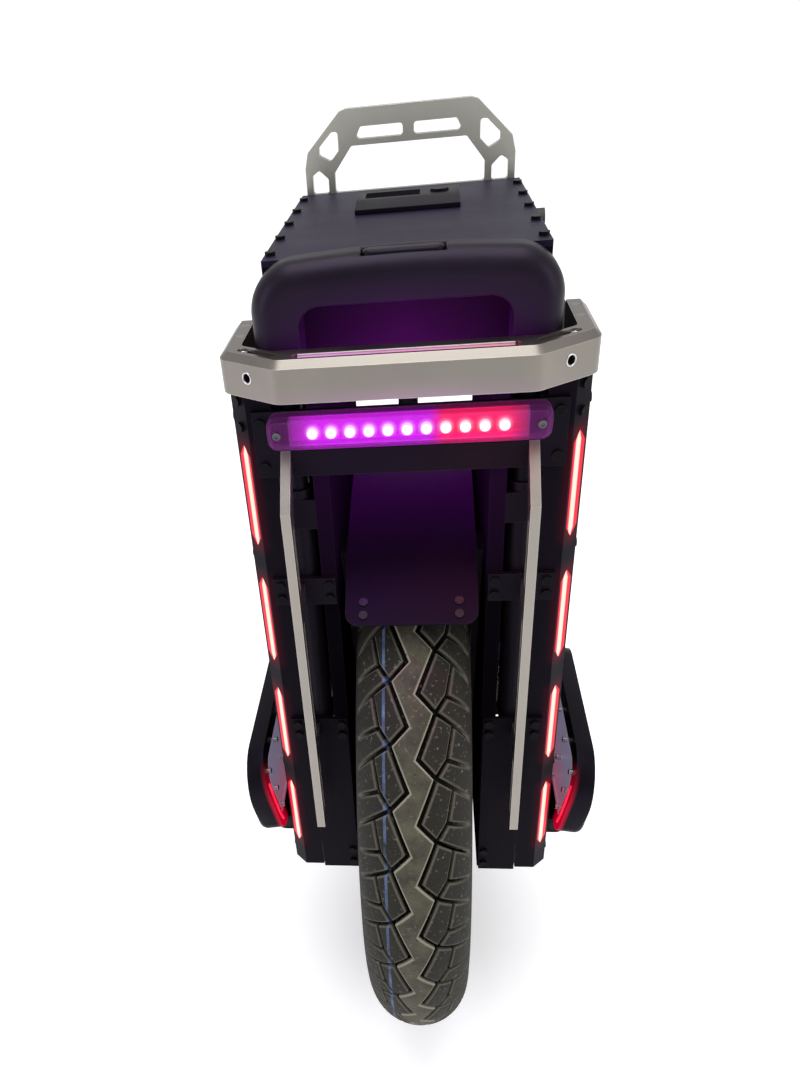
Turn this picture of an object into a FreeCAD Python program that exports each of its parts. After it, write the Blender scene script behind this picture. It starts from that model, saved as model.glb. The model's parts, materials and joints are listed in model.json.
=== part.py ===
import FreeCAD, Part
import math
import os
import re
import Sketcher

# Electric unicycle. Millimetres, +X to the right, +Y forward, +Z up, origin where the tyre meets the ground.
# At rest the suspension hangs at full length, the pedals are folded up and the trolley handle is down.

STRIPS = 4
LAMPS = 11
COILS = 18
COVER_BOLTS = 10
CASE_COVER_SCREWS = 5
LID_SCREWS = 5
HEAD_LAMPS = 2
STUD_ROWS = 3
STUD_COLUMNS = 5
TREAD_PITCHES = 36

SIZES = {
    # Clearances
    "fit": 0.05,
    "gap": 0.3,
    "overshoot": 1,
    # Wheel and hub motor
    "tyre_radius": 250,
    "tyre_half_width": 40,
    "tyre_shoulder": 38,
    "tyre_tread": 10,
    "tyre_wall": 7,
    "sidewall_bulge": 3.3,
    "groove_depth": 4.5,
    "groove_width": 2.6,
    "groove_overlap": 1,
    "zigzag_outer": 16.1,
    "zigzag_inner": 3.9,
    "zigzag_share": 0.291,
    "cross_outer": 44,
    "cross_share": 0.351,
    "tread_start": 139.5,
    "tyre_section": 70,
    "bead_half": 27,
    "bead_width": 7,
    "rim_lip_height": 7,
    "rim_lip": 4,
    "rim_well_depth": 14,
    "rim_well_half": 16,
    "drum_wall": 15.95,
    "cover_overlap": 10,
    "cover_thickness": 5,
    "boss_clearance": 2,
    "boss_radius": 42,
    "boss_slope": 12,
    "bearing_radius": 26,
    "bearing_width": 8,
    "bearing_inset": 1,
    "axle_radius": 12,
    "axle_end_radius": 9,
    "axle_overhang": 2,
    "nut_radius": 14,
    "nut_thickness": 8,
    "stator_half": 20,
    "coil_clearance": 6,
    "coil_height": 27,
    "coil_share": 0.2222,
    "coil_half": 24,
    "magnet_thickness": 9,
    "magnet_half": 24,
    # Frame plates and the carrier that slides in them
    "tyre_side_room": 3,
    "stay_thickness": 4.5,
    "stay_clearance": 1.5,
    "stay_half": 8,
    "stay_ring": 18,
    "stay_angle": 20,
    "plate_thickness": 10,
    "bay": 21,
    "frame_half": 120,
    "frame_lift": 0.5,
    "frame_headroom": 40,
    "slot_half": 21,
    "travel": 70,
    "block_half": 22,
    "block_flange": 3,
    "flange_lip": 6,
    "shelf_height": 8,
    "shelf_drop": 12,
    "rod_clearance": 1.5,
    "shock_wall": 2,
    "shock_rod": 4.5,
    "shock_gland": 6,
    "shock_drop": 38,
    "shock_lug": 12,
    "piston_height": 8,
    # Mudguard
    "mud_clearance": 17,
    "mud_thickness": 2.5,
    "mud_rear_angle": 33.5,
    "mud_front_angle": 24,
    "mud_corner": 9,
    "mud_screw_x": 31,
    "mud_screw_first": 1.4,
    "mud_screw_second": 3.4,
    "mud_screw_radius": 1.6,
    "mud_screw_length": 4,
    "mud_screw_head": 2.8,
    "mud_screw_head_height": 1.4,
    # Battery cases and their light strips
    "case_thickness": 25,
    "case_drop": 39.5,
    "case_rise": 14,
    "case_chamfer": 9.5,
    "case_wall": 3,
    "case_bolt_first": 10,
    "case_bolt_second": 26,
    "cover_plate": 3,
    "cover_ledge": 5,
    "cavity_margin": 22,
    "cavity_floor": 10,
    "cavity_roof": 26,
    "pack_gap": 1,
    "strip_length": 69.4,
    "strip_half_width": 5,
    "strip_point": 7,
    "strip_depth": 4,
    "strip_gap": 0.1,
    "strip_drop": 72,
    "strip_foot": 59.8,
    # Tie plates, lower covers and guard bars
    "tie_thickness": 3,
    "tie_margin": 1,
    "tie_overlap": 12,
    "tie_height": 20,
    "tie_drop": 135,
    "lower_tie_rise": 143,
    "lower_cover_margin": 1,
    "bar_inset": 11.5,
    "bar_thickness": 6,
    "bar_depth": 12,
    "bar_reach": 30,
    "bar_rise": 76,
    "bar_margin": 4,
    "bar_slant": 29.5,
    "bar_root": 15.6,
    "bar_elbow": 6,
    "bar_lug": 12,
    "bar_slot": 5,
    "bar_slot_end": 12,
    "bar_slot_margin": 6,
    # Tail light and headlight
    "bracket_margin": 1,
    "bracket_height": 41,
    "lens_rise": 20.5,
    "lens_half": 82,
    "lens_height": 20,
    "lens_depth": 11,
    "lens_wall": 2.5,
    "lens_corner": 6,
    "lens_end": 13,
    "lamp_board": 1.5,
    "lamp_radius": 3.2,
    "lamp_length": 3,
    "lamp_margin": 26.2,
    "lamp_drop": 2.5,
    "head_lens_half": 62,
    "head_lens_height": 26,
    "head_lens_depth": 15,
    "head_lamp_radius": 9,
    "head_lamp_spacing": 58,
    # Top box, display pod and charge port
    "box_slack": 1,
    "box_rear_margin": 17,
    "box_front_margin": 9,
    "box_height": 74,
    "box_wall": 3,
    "lid_thickness": 3,
    "lid_screw_inset": 3.5,
    "lid_screw_rear": 13.5,
    "lid_screw_front": 24.5,
    "post_radius": 3.2,
    "board_half": 52,
    "board_length": 70,
    "board_margin": 19,
    "board_thickness": 2,
    "board_lift": 8,
    "capacitor_radius": 9,
    "capacitor_height": 30,
    "pod_half": 34,
    "pod_rear": 13,
    "pod_front": 62,
    "pod_height": 6,
    "pod_lip": 3,
    "pod_slope": 16,
    "window_left": 28,
    "window_right": 8,
    "window_rear": 35,
    "window_front": 55,
    "window_depth": 1,
    "window_gap": 0.1,
    "power_radius": 6,
    "power_x": 21,
    "power_y": 45,
    "power_height": 5,
    "power_travel": 1.2,
    "charge_y": 35,
    "charge_drop": 15,
    "charge_radius": 6,
    "charge_flange": 2,
    "charge_barrel": 12,
    "cap_radius": 7,
    "cap_thickness": 8,
    "cap_tab": 6,
    "cap_tab_thickness": 2.5,
    "cap_pin": 0.6,
    "cap_ear": 2,
    "stop_radius": 6,
    "stop_height": 24,
    "stop_margin": 19,
    # Lift handle
    "handle_half": 75.5,
    "handle_thickness": 6,
    "handle_apron": 42,
    "handle_foot": 21.5,
    "handle_side": 17,
    "handle_shoulder": 27,
    "handle_lean": 2.5,
    "handle_top": 52,
    "handle_slope": 31.5,
    "handle_nose": 5,
    "handle_nose_drop": 1.7,
    "handle_bar_drop": 23,
    "handle_bar_inset": 3,
    "handle_fillet": 2,
    "handle_leg": 5,
    "hand_rise": 12.75,
    "arch_rise": 11.9,
    "arch_peak": 15.3,
    "arch_low": 9.35,
    "arch_lean": 10,
    "truss_edge": 6.5,
    "truss_drop": 13.5,
    "truss_low": 2.5,
    "truss_rise": 20.4,
    "truss_side": 11,
    "slit_gap": 4,
    "slit_inset": 3,
    "slit_chord": 4,
    "slit_height": 7.5,
    "handle_bolt_pitch": 60,
    # Rear rail
    "rail_flat_half": 70,
    "rail_slack": 3,
    "rail_slope": 25,
    "rail_reach": 53,
    "rail_height": 23,
    "rail_thickness": 12,
    "rail_corner_thickness": 15,
    "rail_back": 21,
    "rail_round": 12,
    "rail_inner_round": 6,
    "rail_bevel": 4,
    "rail_slot_half": 58,
    "rail_slot_width": 7,
    "rail_slot_inset": 6,
    "rail_recess_length": 22,
    "rail_recess_width": 6,
    "rail_recess_depth": 3,
    "rail_recess_inset": 9.5,
    "rail_hole": 2.5,
    "rail_hole_depth": 9,
    "rail_bolt_inset": 11,
    "rail_bolt_spacing": 22,
    "rail_bolt_edge": 4,
    "rail_bolt_radius": 2,
    "rail_bolt_length": 32,
    "rail_bolt_head": 3,
    "rail_bolt_head_height": 3,
    # Trolley handle
    "grip_half": 85,
    "grip_slack": 0.5,
    "grip_depth": 26.5,
    "grip_lift": 1,
    "grip_rise": 5,
    "grip_crown": 5,
    "grip_corner": 27,
    "grip_opening_half": 57.5,
    "grip_bar": 24.5,
    "grip_opening_corner": 12,
    "grip_round": 13.5,
    "grip_front_round": 4,
    "leg_radius": 6,
    "leg_inset": 8,
    "leg_lift": 14,
    "leg_insert": 24,
    "sleeve_wall": 1.7,
    "sleeve_lift": 15,
    "sleeve_drop": 12,
    "clamp_height": 20,
    "clamp_foot": 14,
    "clamp_margin": 6,
    "button_half": 22,
    "button_depth": 11,
    "button_height": 9,
    "button_inset": 8,
    "button_travel": 4,
    # Pedals
    "bracket_base": 3,
    "bracket_base_half": 74,
    "bracket_base_height": 46,
    "bracket_base_lift": 2.5,
    "pin_lift": 13,
    "pin_radius": 5,
    "lug_radius": 8,
    "lug_inner": 60,
    "lug_outer": 72,
    "barrel_gap": 0.5,
    "pedal_width": 86,
    "pedal_half": 96,
    "pedal_shift": 13,
    "pedal_inner": 12,
    "pedal_up": 6,
    "pedal_down": 8,
    "pedal_corner": 26,
    "pedal_fold_angle": 79,
    "deck_margin": 12,
    "deck_depth": 3,
    "deck_gap": 0.1,
    "stud_radius": 2.2,
    "stud_height": 3,
    "stud_inset": 5,
    # Screws and bolts
    "tie_screw_inset": 7,
    "tie_screw_spread": 5,
    "bracket_screw_spacing": 27,
    "lower_screw_spacing": 14,
    "screw_radius": 1.6,
    "screw_length": 8,
    "screw_head": 3,
    "screw_head_height": 2,
    "bolt_radius": 2.5,
    "bolt_length": 12,
    "bolt_head": 4.5,
    "bolt_head_height": 3,
}

# Places and sizes that follow from the ones above, each a formula of the sheet.
FORMULAS = {
    "axle_height": "tyre_radius",
    "tyre_flank": "tyre_radius - tyre_shoulder",
    "crown_radius": "(tyre_half_width ^ 2 + tyre_shoulder ^ 2) / (2 * tyre_shoulder)",
    "tread_pitch": "2 * pi * tyre_radius / %d" % TREAD_PITCHES,
    "stay_inner": "tyre_half_width + tyre_side_room",
    "stay_outer": "stay_inner + stay_thickness",
    "plate_inner": "stay_outer + stay_clearance",
    "plate_outer": "plate_inner + plate_thickness",
    "plate_middle": "plate_inner + plate_thickness / 2",
    "bay_middle": "plate_outer + bay / 2",
    "case_inner": "plate_outer + bay",
    "case_outer": "case_inner + case_thickness",
    "case_bottom": "axle_height - case_drop",
    "frame_bottom": "case_bottom + frame_lift",
    "frame_top": "2 * tyre_radius + travel + frame_headroom",
    "case_top": "frame_top + case_rise",
    "block_outer": "plate_outer + gap + block_flange",
    "axle_tip": "block_outer + nut_thickness + axle_overhang",
    "bead_radius": "tyre_radius - tyre_section",
    "rim_seat": "bead_radius - fit",
    "rim_half": "bead_half + rim_lip + fit",
    "rim_well": "rim_seat - rim_well_depth",
    "rim_edge": "rim_seat + rim_lip_height",
    "cover_face": "rim_half + cover_thickness",
    "drum_radius": "rim_well - drum_wall",
    "cover_edge": "drum_radius + cover_overlap",
    "boss_face": "stay_inner - boss_clearance",
    "stator_radius": "drum_radius - magnet_thickness - coil_clearance - coil_height",
    "coil_width": "coil_share * stator_radius",
    "shelf_bottom": "axle_height + block_half + shelf_drop",
    "shelf_top": "shelf_bottom + shelf_height",
    "shock_bottom": "shelf_top + travel + rod_clearance",
    "shock_top": "frame_top - shock_drop",
    "shock_radius": "bay / 2 - rod_clearance",
    "shock_bore": "shock_radius - shock_wall",
    "piston_bottom": "shock_bottom + shock_gland + gap",
    "mud_radius": "tyre_radius + mud_clearance",
    "mud_outer": "mud_radius + mud_thickness",
    "cover_inner": "case_outer - cover_plate",
    "cavity_reach": "frame_half - cavity_margin",
    "cavity_bottom": "case_bottom + cavity_floor",
    "cavity_top": "case_top - cavity_roof",
    "strip_x": "case_outer - case_chamfer / 2",
    "strip_y": "frame_half - case_chamfer / 2",
    "strip_first": "case_top - strip_drop",
    "strip_pitch": "(strip_first - case_bottom - strip_foot) / %d" % (STRIPS - 1),
    "tie_face": "frame_half + tie_thickness",
    "tie_inner": "plate_inner + tie_margin",
    "tie_outer": "case_inner + tie_overlap",
    "tie_bottom": "frame_top - tie_drop",
    "lower_tie_bottom": "frame_bottom + lower_tie_rise",
    "lower_cover_outer": "case_inner - lower_cover_margin",
    "tie_screw_x": "case_inner + tie_screw_inset",
    "bracket_top": "frame_top - bracket_margin",
    "bracket_bottom": "bracket_top - bracket_height",
    "bracket_middle": "bracket_bottom + bracket_height / 2",
    "lens_bottom": "bracket_bottom + lens_rise",
    "lens_top": "lens_bottom + lens_height",
    "lens_face": "tie_face + lens_depth",
    "lamp_height": "lens_bottom + lens_height / 2 - lamp_drop",
    "lamp_pitch": "2 * (lens_half - lamp_margin) / %d" % (LAMPS - 1),
    "head_lens_face": "tie_face + head_lens_depth",
    "bar_inner": "plate_outer + bar_inset",
    "bar_outer": "bar_inner + bar_thickness",
    "bar_face": "frame_half + bar_reach",
    "bar_front": "bar_face - bar_depth",
    "bar_middle": "bar_face - bar_depth / 2",
    "bar_bottom": "frame_bottom + bar_rise",
    "bar_top": "lens_bottom - bar_margin",
    "bar_kink": "bar_top - bar_slant",
    "bar_lug_high": "tie_bottom + (tie_height - bar_lug) / 2",
    "bar_lug_low": "lower_tie_bottom + (tie_height - bar_lug) / 2",
    "box_half": "case_inner - box_slack",
    "box_rear": "frame_half - box_rear_margin",
    "box_front": "frame_half - box_front_margin",
    "stop_y": "box_rear - stop_margin",
    "lid_screw_run": "box_rear + box_front - lid_screw_rear - lid_screw_front",
    "lid_screw_pitch": "lid_screw_run / %d" % (LID_SCREWS - 1),
    "lid_screw_centre": "(box_front - box_rear + lid_screw_rear - lid_screw_front) / 2",
    "board_front": "box_front - board_margin",
    "board_rear": "board_front - board_length",
    "floor_top": "frame_top + box_wall",
    "lid_bottom": "frame_top + box_height",
    "lid_top": "lid_bottom + lid_thickness",
    "board_bottom": "floor_top + board_lift",
    "pod_top": "lid_top + pod_height",
    "charge_z": "lid_top - charge_drop",
    "cap_face": "box_half + charge_flange + gap",
    "cap_hinge_x": "cap_face + cap_tab_thickness / 2",
    "cap_hinge_y": "charge_y - cap_radius - cap_tab",
    "handle_front": "box_front + handle_thickness",
    "handle_top_half": "handle_half - handle_slope",
    "handle_bar_half": "handle_top_half - handle_bar_inset",
    "slit_half": "handle_bar_half - slit_inset",
    "handle_peak": "lid_top + handle_top",
    "handle_bar": "handle_peak - handle_bar_drop",
    "grip_front": "box_rear + grip_slack",
    "grip_rear": "grip_front + grip_depth",
    "grip_bottom": "case_top + grip_lift",
    "grip_top": "lid_top + grip_rise",
    "grip_ceiling": "grip_top - grip_bar",
    "button_rear": "grip_rear - button_inset",
    "button_front": "button_rear - button_depth",
    "leg_y": "grip_front + leg_inset",
    "leg_top": "grip_bottom + leg_insert",
    "sleeve_bottom": "frame_bottom + sleeve_lift",
    "sleeve_top": "bracket_bottom - sleeve_drop",
    "sleeve_bore": "leg_radius + gap",
    "sleeve_radius": "sleeve_bore + sleeve_wall",
    "leg_bottom": "sleeve_bottom + leg_lift",
    "clamp_low": "sleeve_bottom + clamp_foot",
    "clamp_high": "sleeve_top - clamp_margin - clamp_height",
    "rail_top": "case_top + rail_height",
    "rail_half": "case_outer",
    "rail_rear": "grip_rear + rail_slack + rail_back",
    "rail_corner": "rail_rear - rail_slope",
    "rail_slope_x": "rail_half - rail_flat_half",
    "rail_slope_run": "sqrt(rail_slope_x ^ 2 + rail_slope ^ 2)",
    "rail_front": "frame_half - rail_reach",
    "rail_seat": "rail_top - rail_bolt_head_height",
    "pin_x": "case_outer + bracket_base + lug_radius + barrel_gap",
    "pin_z": "case_bottom + pin_lift",
    "barrel_half": "lug_inner - barrel_gap",
    "deck_inner": "pedal_inner + deck_margin",
    "deck_outer": "pedal_width - deck_margin",
    "deck_half": "pedal_half - deck_margin",
    "deck_bottom": "pedal_up - deck_depth",
}

doc = FreeCAD.newDocument("electric_unicycle")
sheet = doc.addObject("Spreadsheet::Sheet", "Size")
cells = [(alias, str(value)) for alias, value in SIZES.items()]
cells += [(alias, "=" + formula) for alias, formula in FORMULAS.items()]
for row, (alias, content) in enumerate(cells, start=1):
    sheet.set("A%d" % row, content)
    sheet.setAlias("A%d" % row, alias)
doc.recompute()

ALIASES = re.compile(r"\b(%s)\b" % "|".join(alias for alias, content in cells))
AXIS_TURNS = {
    "X": FreeCAD.Rotation(FreeCAD.Vector(0, 1, 0), 90),
    "Y": FreeCAD.Rotation(FreeCAD.Vector(1, 0, 0), -90),
    "Z": FreeCAD.Rotation(),
}
UP = FreeCAD.Vector(0, 0, 1)
SAME = 0.001
pieces = []


def formula_of(text):
    """The sheet formula of a size written with plain names."""
    return ALIASES.sub(r"Size.\1", str(text))


def number_of(text):
    """The present value of a size written with plain names."""
    return float(sheet.evalExpression(formula_of(text)))


def bind(item, prop, text):
    item.setExpression(prop, formula_of(text))


def place(item, x, y, z):
    bind(item, "Placement.Base.x", x)
    bind(item, "Placement.Base.y", y)
    bind(item, "Placement.Base.z", z)


def keep(item, name):
    """Names a finished sub-part, which is written to its own file."""
    item.Label = name
    pieces.append(item)


def block(x, y, z):
    """A box between a low and a high value on each axis."""
    item = doc.addObject("Part::Box", "Block")
    bind(item, "Length", "(%s) - (%s)" % (x[1], x[0]))
    bind(item, "Width", "(%s) - (%s)" % (y[1], y[0]))
    bind(item, "Height", "(%s) - (%s)" % (z[1], z[0]))
    place(item, x[0], y[0], z[0])
    return item


def cylinder(axis, centre, span, radius):
    """A round bar along an axis; centre gives the two other coordinates in X, Y, Z order."""
    item = doc.addObject("Part::Cylinder", "Cylinder")
    item.Placement.Rotation = AXIS_TURNS[axis]
    bind(item, "Radius", radius)
    bind(item, "Height", "(%s) - (%s)" % (span[1], span[0]))
    spots = list(centre)
    spots.insert("XYZ".index(axis), span[0])
    place(item, *spots)
    return item


def cut(base, tools):
    item = doc.addObject("Part::Cut", "Cut")
    item.Base = base
    item.Tool = tools[0] if len(tools) == 1 else group(tools)
    return item


def fuse(parts):
    item = doc.addObject("Part::MultiFuse", "Fuse")
    item.Shapes = parts
    item.Refine = True
    return item


def group(parts):
    item = doc.addObject("Part::Compound", "Group")
    item.Links = parts
    return item


def mirror(source, axis="X"):
    item = doc.addObject("Part::Mirroring", "Mirror")
    item.Source = source
    item.Normal = FreeCAD.Vector(axis == "X", axis == "Y", axis == "Z")
    return item


def pair(source, axis="X"):
    """A piece and its mirror image."""
    return group([source, mirror(source, axis)])


def arc_between(start, end, rise):
    """An arc that stands out from its chord by a rise, to the right of the way from start to end."""
    chord = end - start
    radius = (chord.Length ** 2 / 4 + rise ** 2) / (2 * abs(rise))
    aside = FreeCAD.Vector(chord.y, -chord.x, 0).normalize() * math.copysign(1, rise)
    centre = (start + end) * 0.5 + aside * (abs(rise) - radius)
    first, last = [math.atan2(spot.y - centre.y, spot.x - centre.x) for spot in (start, end)]
    if rise < 0:
        first, last = last, first
    return Part.ArcOfCircle(Part.Circle(centre, UP, radius), first, last)


def draw(body, plane, points, offset):
    """A closed sketch on one of the body's own planes.

    A point is (u, v), or (u, v, rise) where the run to the next point is an arc. A positive rise stands out
    to the right of the way, so it bulges an outline that is drawn anticlockwise.
    """
    sketch = body.newObject("Sketcher::SketchObject", "Outline")
    support = [item for item in body.Origin.OriginFeatures if item.Role == plane + "_Plane"]
    sketch.AttachmentSupport = [(support[0], "")]
    sketch.MapMode = "FlatFace"
    bind(sketch, "AttachmentOffset.Base.z", offset)
    spots = [FreeCAD.Vector(number_of(point[0]), number_of(point[1]), 0) for point in points]
    count = len(points)
    ends = []
    for index, point in enumerate(points):
        start, end = spots[index], spots[(index + 1) % count]
        rise = number_of(point[2]) if len(point) > 2 else 0
        curve = arc_between(start, end, rise) if rise else Part.LineSegment(start, end)
        sketch.addGeometry(curve, False)
        ends.append((2, 1) if rise < 0 else (1, 2))
    for index in range(count):
        following = (index + 1) % count
        sketch.addConstraint(
            Sketcher.Constraint("Coincident", index, ends[index][1], following, ends[following][0]))
    for index, point in enumerate(points):
        sizes = [("DistanceX", point[0], spots[index].x), ("DistanceY", point[1], spots[index].y)]
        for kind, text, value in sizes:
            number = sketch.addConstraint(Sketcher.Constraint(kind, -1, 1, index, ends[index][0], value))
            bind(sketch, "Constraints[%d]" % number, text)
        if len(point) > 2:
            u, v = points[(index + 1) % count][:2]
            chord = "((%s) - (%s)) ^ 2 + ((%s) - (%s)) ^ 2" % (u, point[0], v, point[1])
            radius = "(%s) / (8 * abs(%s)) + abs(%s) / 2" % (chord, point[2], point[2])
            number = sketch.addConstraint(Sketcher.Constraint("Radius", index, number_of(radius)))
            bind(sketch, "Constraints[%d]" % number, radius)
    return sketch


def profile(plane, points, span):
    """A body padded from an outline: span is its low and high place across the plane."""
    low, high = span
    body = doc.addObject("PartDesign::Body", "Body")
    offset = "-(%s)" % high if plane == "XZ" else low
    sketch = draw(body, plane, points, offset)
    pad = body.newObject("PartDesign::Pad", "Pad")
    pad.Profile = sketch
    bind(pad, "Length", "(%s) - (%s)" % (high, low))
    return body


def turned(points, backward="360", forward="0"):
    """A body turned about the axle from an outline of (place along the axle, radius)."""
    body = doc.addObject("PartDesign::Body", "Body")
    sketch = draw(body, "XZ", points, "0")
    bind(sketch, "AttachmentOffset.Base.y", "axle_height")
    turn = body.newObject("PartDesign::Revolution", "Revolution")
    turn.Profile = sketch
    turn.ReferenceAxis = (sketch, ["H_Axis"])
    bind(turn, "Angle", backward)
    if forward != "0":
        turn.Type = "TwoAngles"
        bind(turn, "Angle2", forward)
    return body


def ring(inner, outer, span):
    """A plain ring about the axle."""
    return turned([(span[0], inner), (span[1], inner), (span[1], outer), (span[0], outer)])


def soften(body, kind, size, chosen):
    """A fillet or chamfer on the edges of the body that the function chosen picks."""
    doc.recompute()
    base = body.Tip
    names = ["Edge%d" % number for number, edge in enumerate(base.Shape.Edges, start=1) if chosen(edge)]
    item = body.newObject("PartDesign::" + kind, kind)
    item.Base = (base, names)
    bind(item, "Radius" if kind == "Fillet" else "Size", size)


def along(axis):
    """Picks straight edges that run along an axis."""
    def chosen(edge):
        ends = edge.Vertexes[-1].Point - edge.Vertexes[0].Point
        return abs(abs(getattr(ends, axis.lower())) - ends.Length) < SAME < ends.Length
    return chosen


def upright_at(axis, spots):
    """Picks the edges along an axis that stand on the given corners, each a pair of sizes."""
    others = [letter for letter in "xyz" if letter != axis.lower()]
    wanted = [(number_of(u), number_of(v)) for u, v in spots]
    straight = along(axis)

    def chosen(edge):
        point = edge.Vertexes[0].Point
        here = [getattr(point, letter) for letter in others]
        return straight(edge) and any(abs(here[0] - u) + abs(here[1] - v) < SAME for u, v in wanted)
    return chosen


def lying_at(axis, height):
    """Picks the edges that lie all along in a plane across an axis."""
    level = number_of(height)
    low, high = axis + "Min", axis + "Max"
    return lambda edge: max(abs(getattr(edge.BoundBox, side) - level) for side in (low, high)) < SAME


def fasteners(seats, outward, kind):
    """Screws with their heads on the seats, and the holes that they pass through."""
    out = FreeCAD.Vector(*outward)
    screws = []
    holes = []
    for seat in seats:
        head = doc.addObject("Part::Cylinder", "Head")
        bind(head, "Radius", kind + "_head")
        bind(head, "Height", kind + "_head_height")
        head.Placement.Rotation = FreeCAD.Rotation(UP, out)
        shank = doc.addObject("Part::Cylinder", "Shank")
        bind(shank, "Radius", kind + "_radius")
        bind(shank, "Height", kind + "_length")
        hole = doc.addObject("Part::Cylinder", "Hole")
        bind(hole, "Radius", kind + "_radius + fit")
        bind(hole, "Height", kind + "_length + gap")
        for item in (shank, hole):
            item.Placement.Rotation = FreeCAD.Rotation(UP, out * -1)
        for item in (head, shank, hole):
            place(item, *seat)
        screws.append(fuse([head, shank]))
        holes.append(hole)
    return screws, holes


def spread(count):
    """Steps about zero for a row of so many things."""
    return [number - (count - 1) / 2 for number in range(count)]


def groove(start, end):
    """A straight cutter sunk in the tread between two points, each (arc from the middle, way round)."""
    middle = [(number_of(start[axis]) + number_of(end[axis])) / 2 for axis in (0, 1)]
    run = [number_of(end[axis]) - number_of(start[axis]) for axis in (0, 1)]
    crown, radius = number_of("crown_radius"), number_of("tyre_radius")
    lean = middle[0] / crown
    turn = math.radians(number_of("tread_start")) - middle[1] / radius
    spoke = FreeCAD.Vector(0, -math.sin(turn), -math.cos(turn))
    sideways = FreeCAD.Vector(1, 0, 0)
    outward = sideways * math.sin(lean) + spoke * math.cos(lean)
    across = sideways * math.cos(lean) - spoke * math.sin(lean)
    reach = radius - crown + crown * math.cos(lean)
    way = across * run[0] + FreeCAD.Vector(0, math.cos(turn), -math.sin(turn)) * (run[1] * reach / radius)
    length = way.Length + 2 * number_of("groove_overlap")
    way.normalize()
    beside = outward.cross(way)
    width, depth = number_of("groove_width"), number_of("groove_depth")
    foot = FreeCAD.Vector(0, 0, number_of("axle_height")) + sideways * (crown * math.sin(lean)) + spoke * reach
    cutter = doc.addObject("Part::Box", "Groove")
    bind(cutter, "Width", "groove_width")
    bind(cutter, "Height", "2 * groove_depth")
    cutter.Length = length
    cutter.Placement = FreeCAD.Placement(foot - way * (length / 2) - beside * (width / 2) - outward * depth,
                                         FreeCAD.Rotation(way, beside, outward, "ZXY"))
    return cutter


def round_the_wheel(cutter, first):
    """Copies of a cutter at every second pitch of the tread, from a first pitch on."""
    copies = doc.addObject("App::Link", "Copies")
    copies.LinkedObject = cutter
    copies.ShowElement = False
    copies.ElementCount = TREAD_PITCHES // 2
    hub = FreeCAD.Vector(0, 0, number_of("axle_height"))
    copies.PlacementList = [
        FreeCAD.Placement(FreeCAD.Vector(), FreeCAD.Rotation(FreeCAD.Vector(1, 0, 0), turn), hub)
        for turn in (360 * (first + 2 * step) / TREAD_PITCHES for step in range(TREAD_PITCHES // 2))]
    return copies


def tread(tyre):
    """The tyre with a zigzag groove on each side of its middle rib and a cross groove at each outer corner."""
    node = ("-zigzag_outer", "0")
    peak = ("-zigzag_inner", "-zigzag_share * tread_pitch")
    left = fuse([groove(("-zigzag_outer", "-tread_pitch"), peak), groove(peak, node),
                 groove(node, ("-cross_outer", "cross_share * tread_pitch"))])
    right = mirror(left)
    for first in (0, 1):
        tyre = cut(tyre, [round_the_wheel(left, first), round_the_wheel(right, first + 0.5)])
    return tyre


def wheel():
    """The tyre, rim, motor covers, magnets and bearings, which turn together."""
    wall = "tyre_half_width - tyre_wall"
    inside = "bead_half - bead_width"
    keep(tread(turned([
        ("bead_half", "bead_radius"), ("bead_half", "rim_edge + gap", "sidewall_bulge"),
        ("tyre_half_width", "tyre_flank", "tyre_shoulder"),
        ("-tyre_half_width", "tyre_flank", "sidewall_bulge"), ("-bead_half", "rim_edge + gap"),
        ("-bead_half", "bead_radius"),
        ("-(%s)" % inside, "bead_radius"), ("-(%s)" % wall, "tyre_flank", "tyre_tread - tyre_shoulder"),
        (wall, "tyre_flank"), (inside, "bead_radius"),
    ])), "tyre")
    rim = turned([
        ("-rim_half", "drum_radius"), ("rim_half", "drum_radius"), ("rim_half", "rim_edge"),
        ("bead_half + fit", "rim_edge"), ("bead_half + fit", "rim_seat"), ("rim_well_half", "rim_seat"),
        ("rim_well_half", "rim_well"), ("-rim_well_half", "rim_well"), ("-rim_well_half", "rim_seat"),
        ("-bead_half - fit", "rim_seat"), ("-bead_half - fit", "rim_edge"), ("-rim_half", "rim_edge"),
    ])
    cover = turned([
        ("rim_half", "bearing_radius + fit"), ("boss_face", "bearing_radius + fit"),
        ("boss_face", "boss_radius"), ("cover_face", "boss_radius + boss_slope"),
        ("cover_face", "cover_edge"), ("rim_half", "cover_edge"),
    ])
    circle = "(drum_radius + cover_overlap / 2)"
    seats = []
    for number in range(COVER_BOLTS):
        turn = 360 * number / COVER_BOLTS
        seats.append(("cover_face", "%s * cos(%g deg)" % (circle, turn),
                      "axle_height + %s * sin(%g deg)" % (circle, turn)))
    bolts, holes = fasteners(seats, (1, 0, 0), "screw")
    drilled = group(holes)
    keep(pair(cut(cover, [drilled])), "motor_covers")
    keep(cut(rim, [drilled, mirror(drilled)]), "rim")
    keep(pair(group(bolts)), "motor_cover_bolts")
    keep(ring("drum_radius - magnet_thickness", "drum_radius - fit", ("-magnet_half", "magnet_half")),
         "magnet_ring")
    outer_end = "boss_face - bearing_inset"
    keep(pair(ring("axle_radius + fit", "bearing_radius", (outer_end + " - bearing_width", outer_end))),
         "wheel_bearings")


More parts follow.
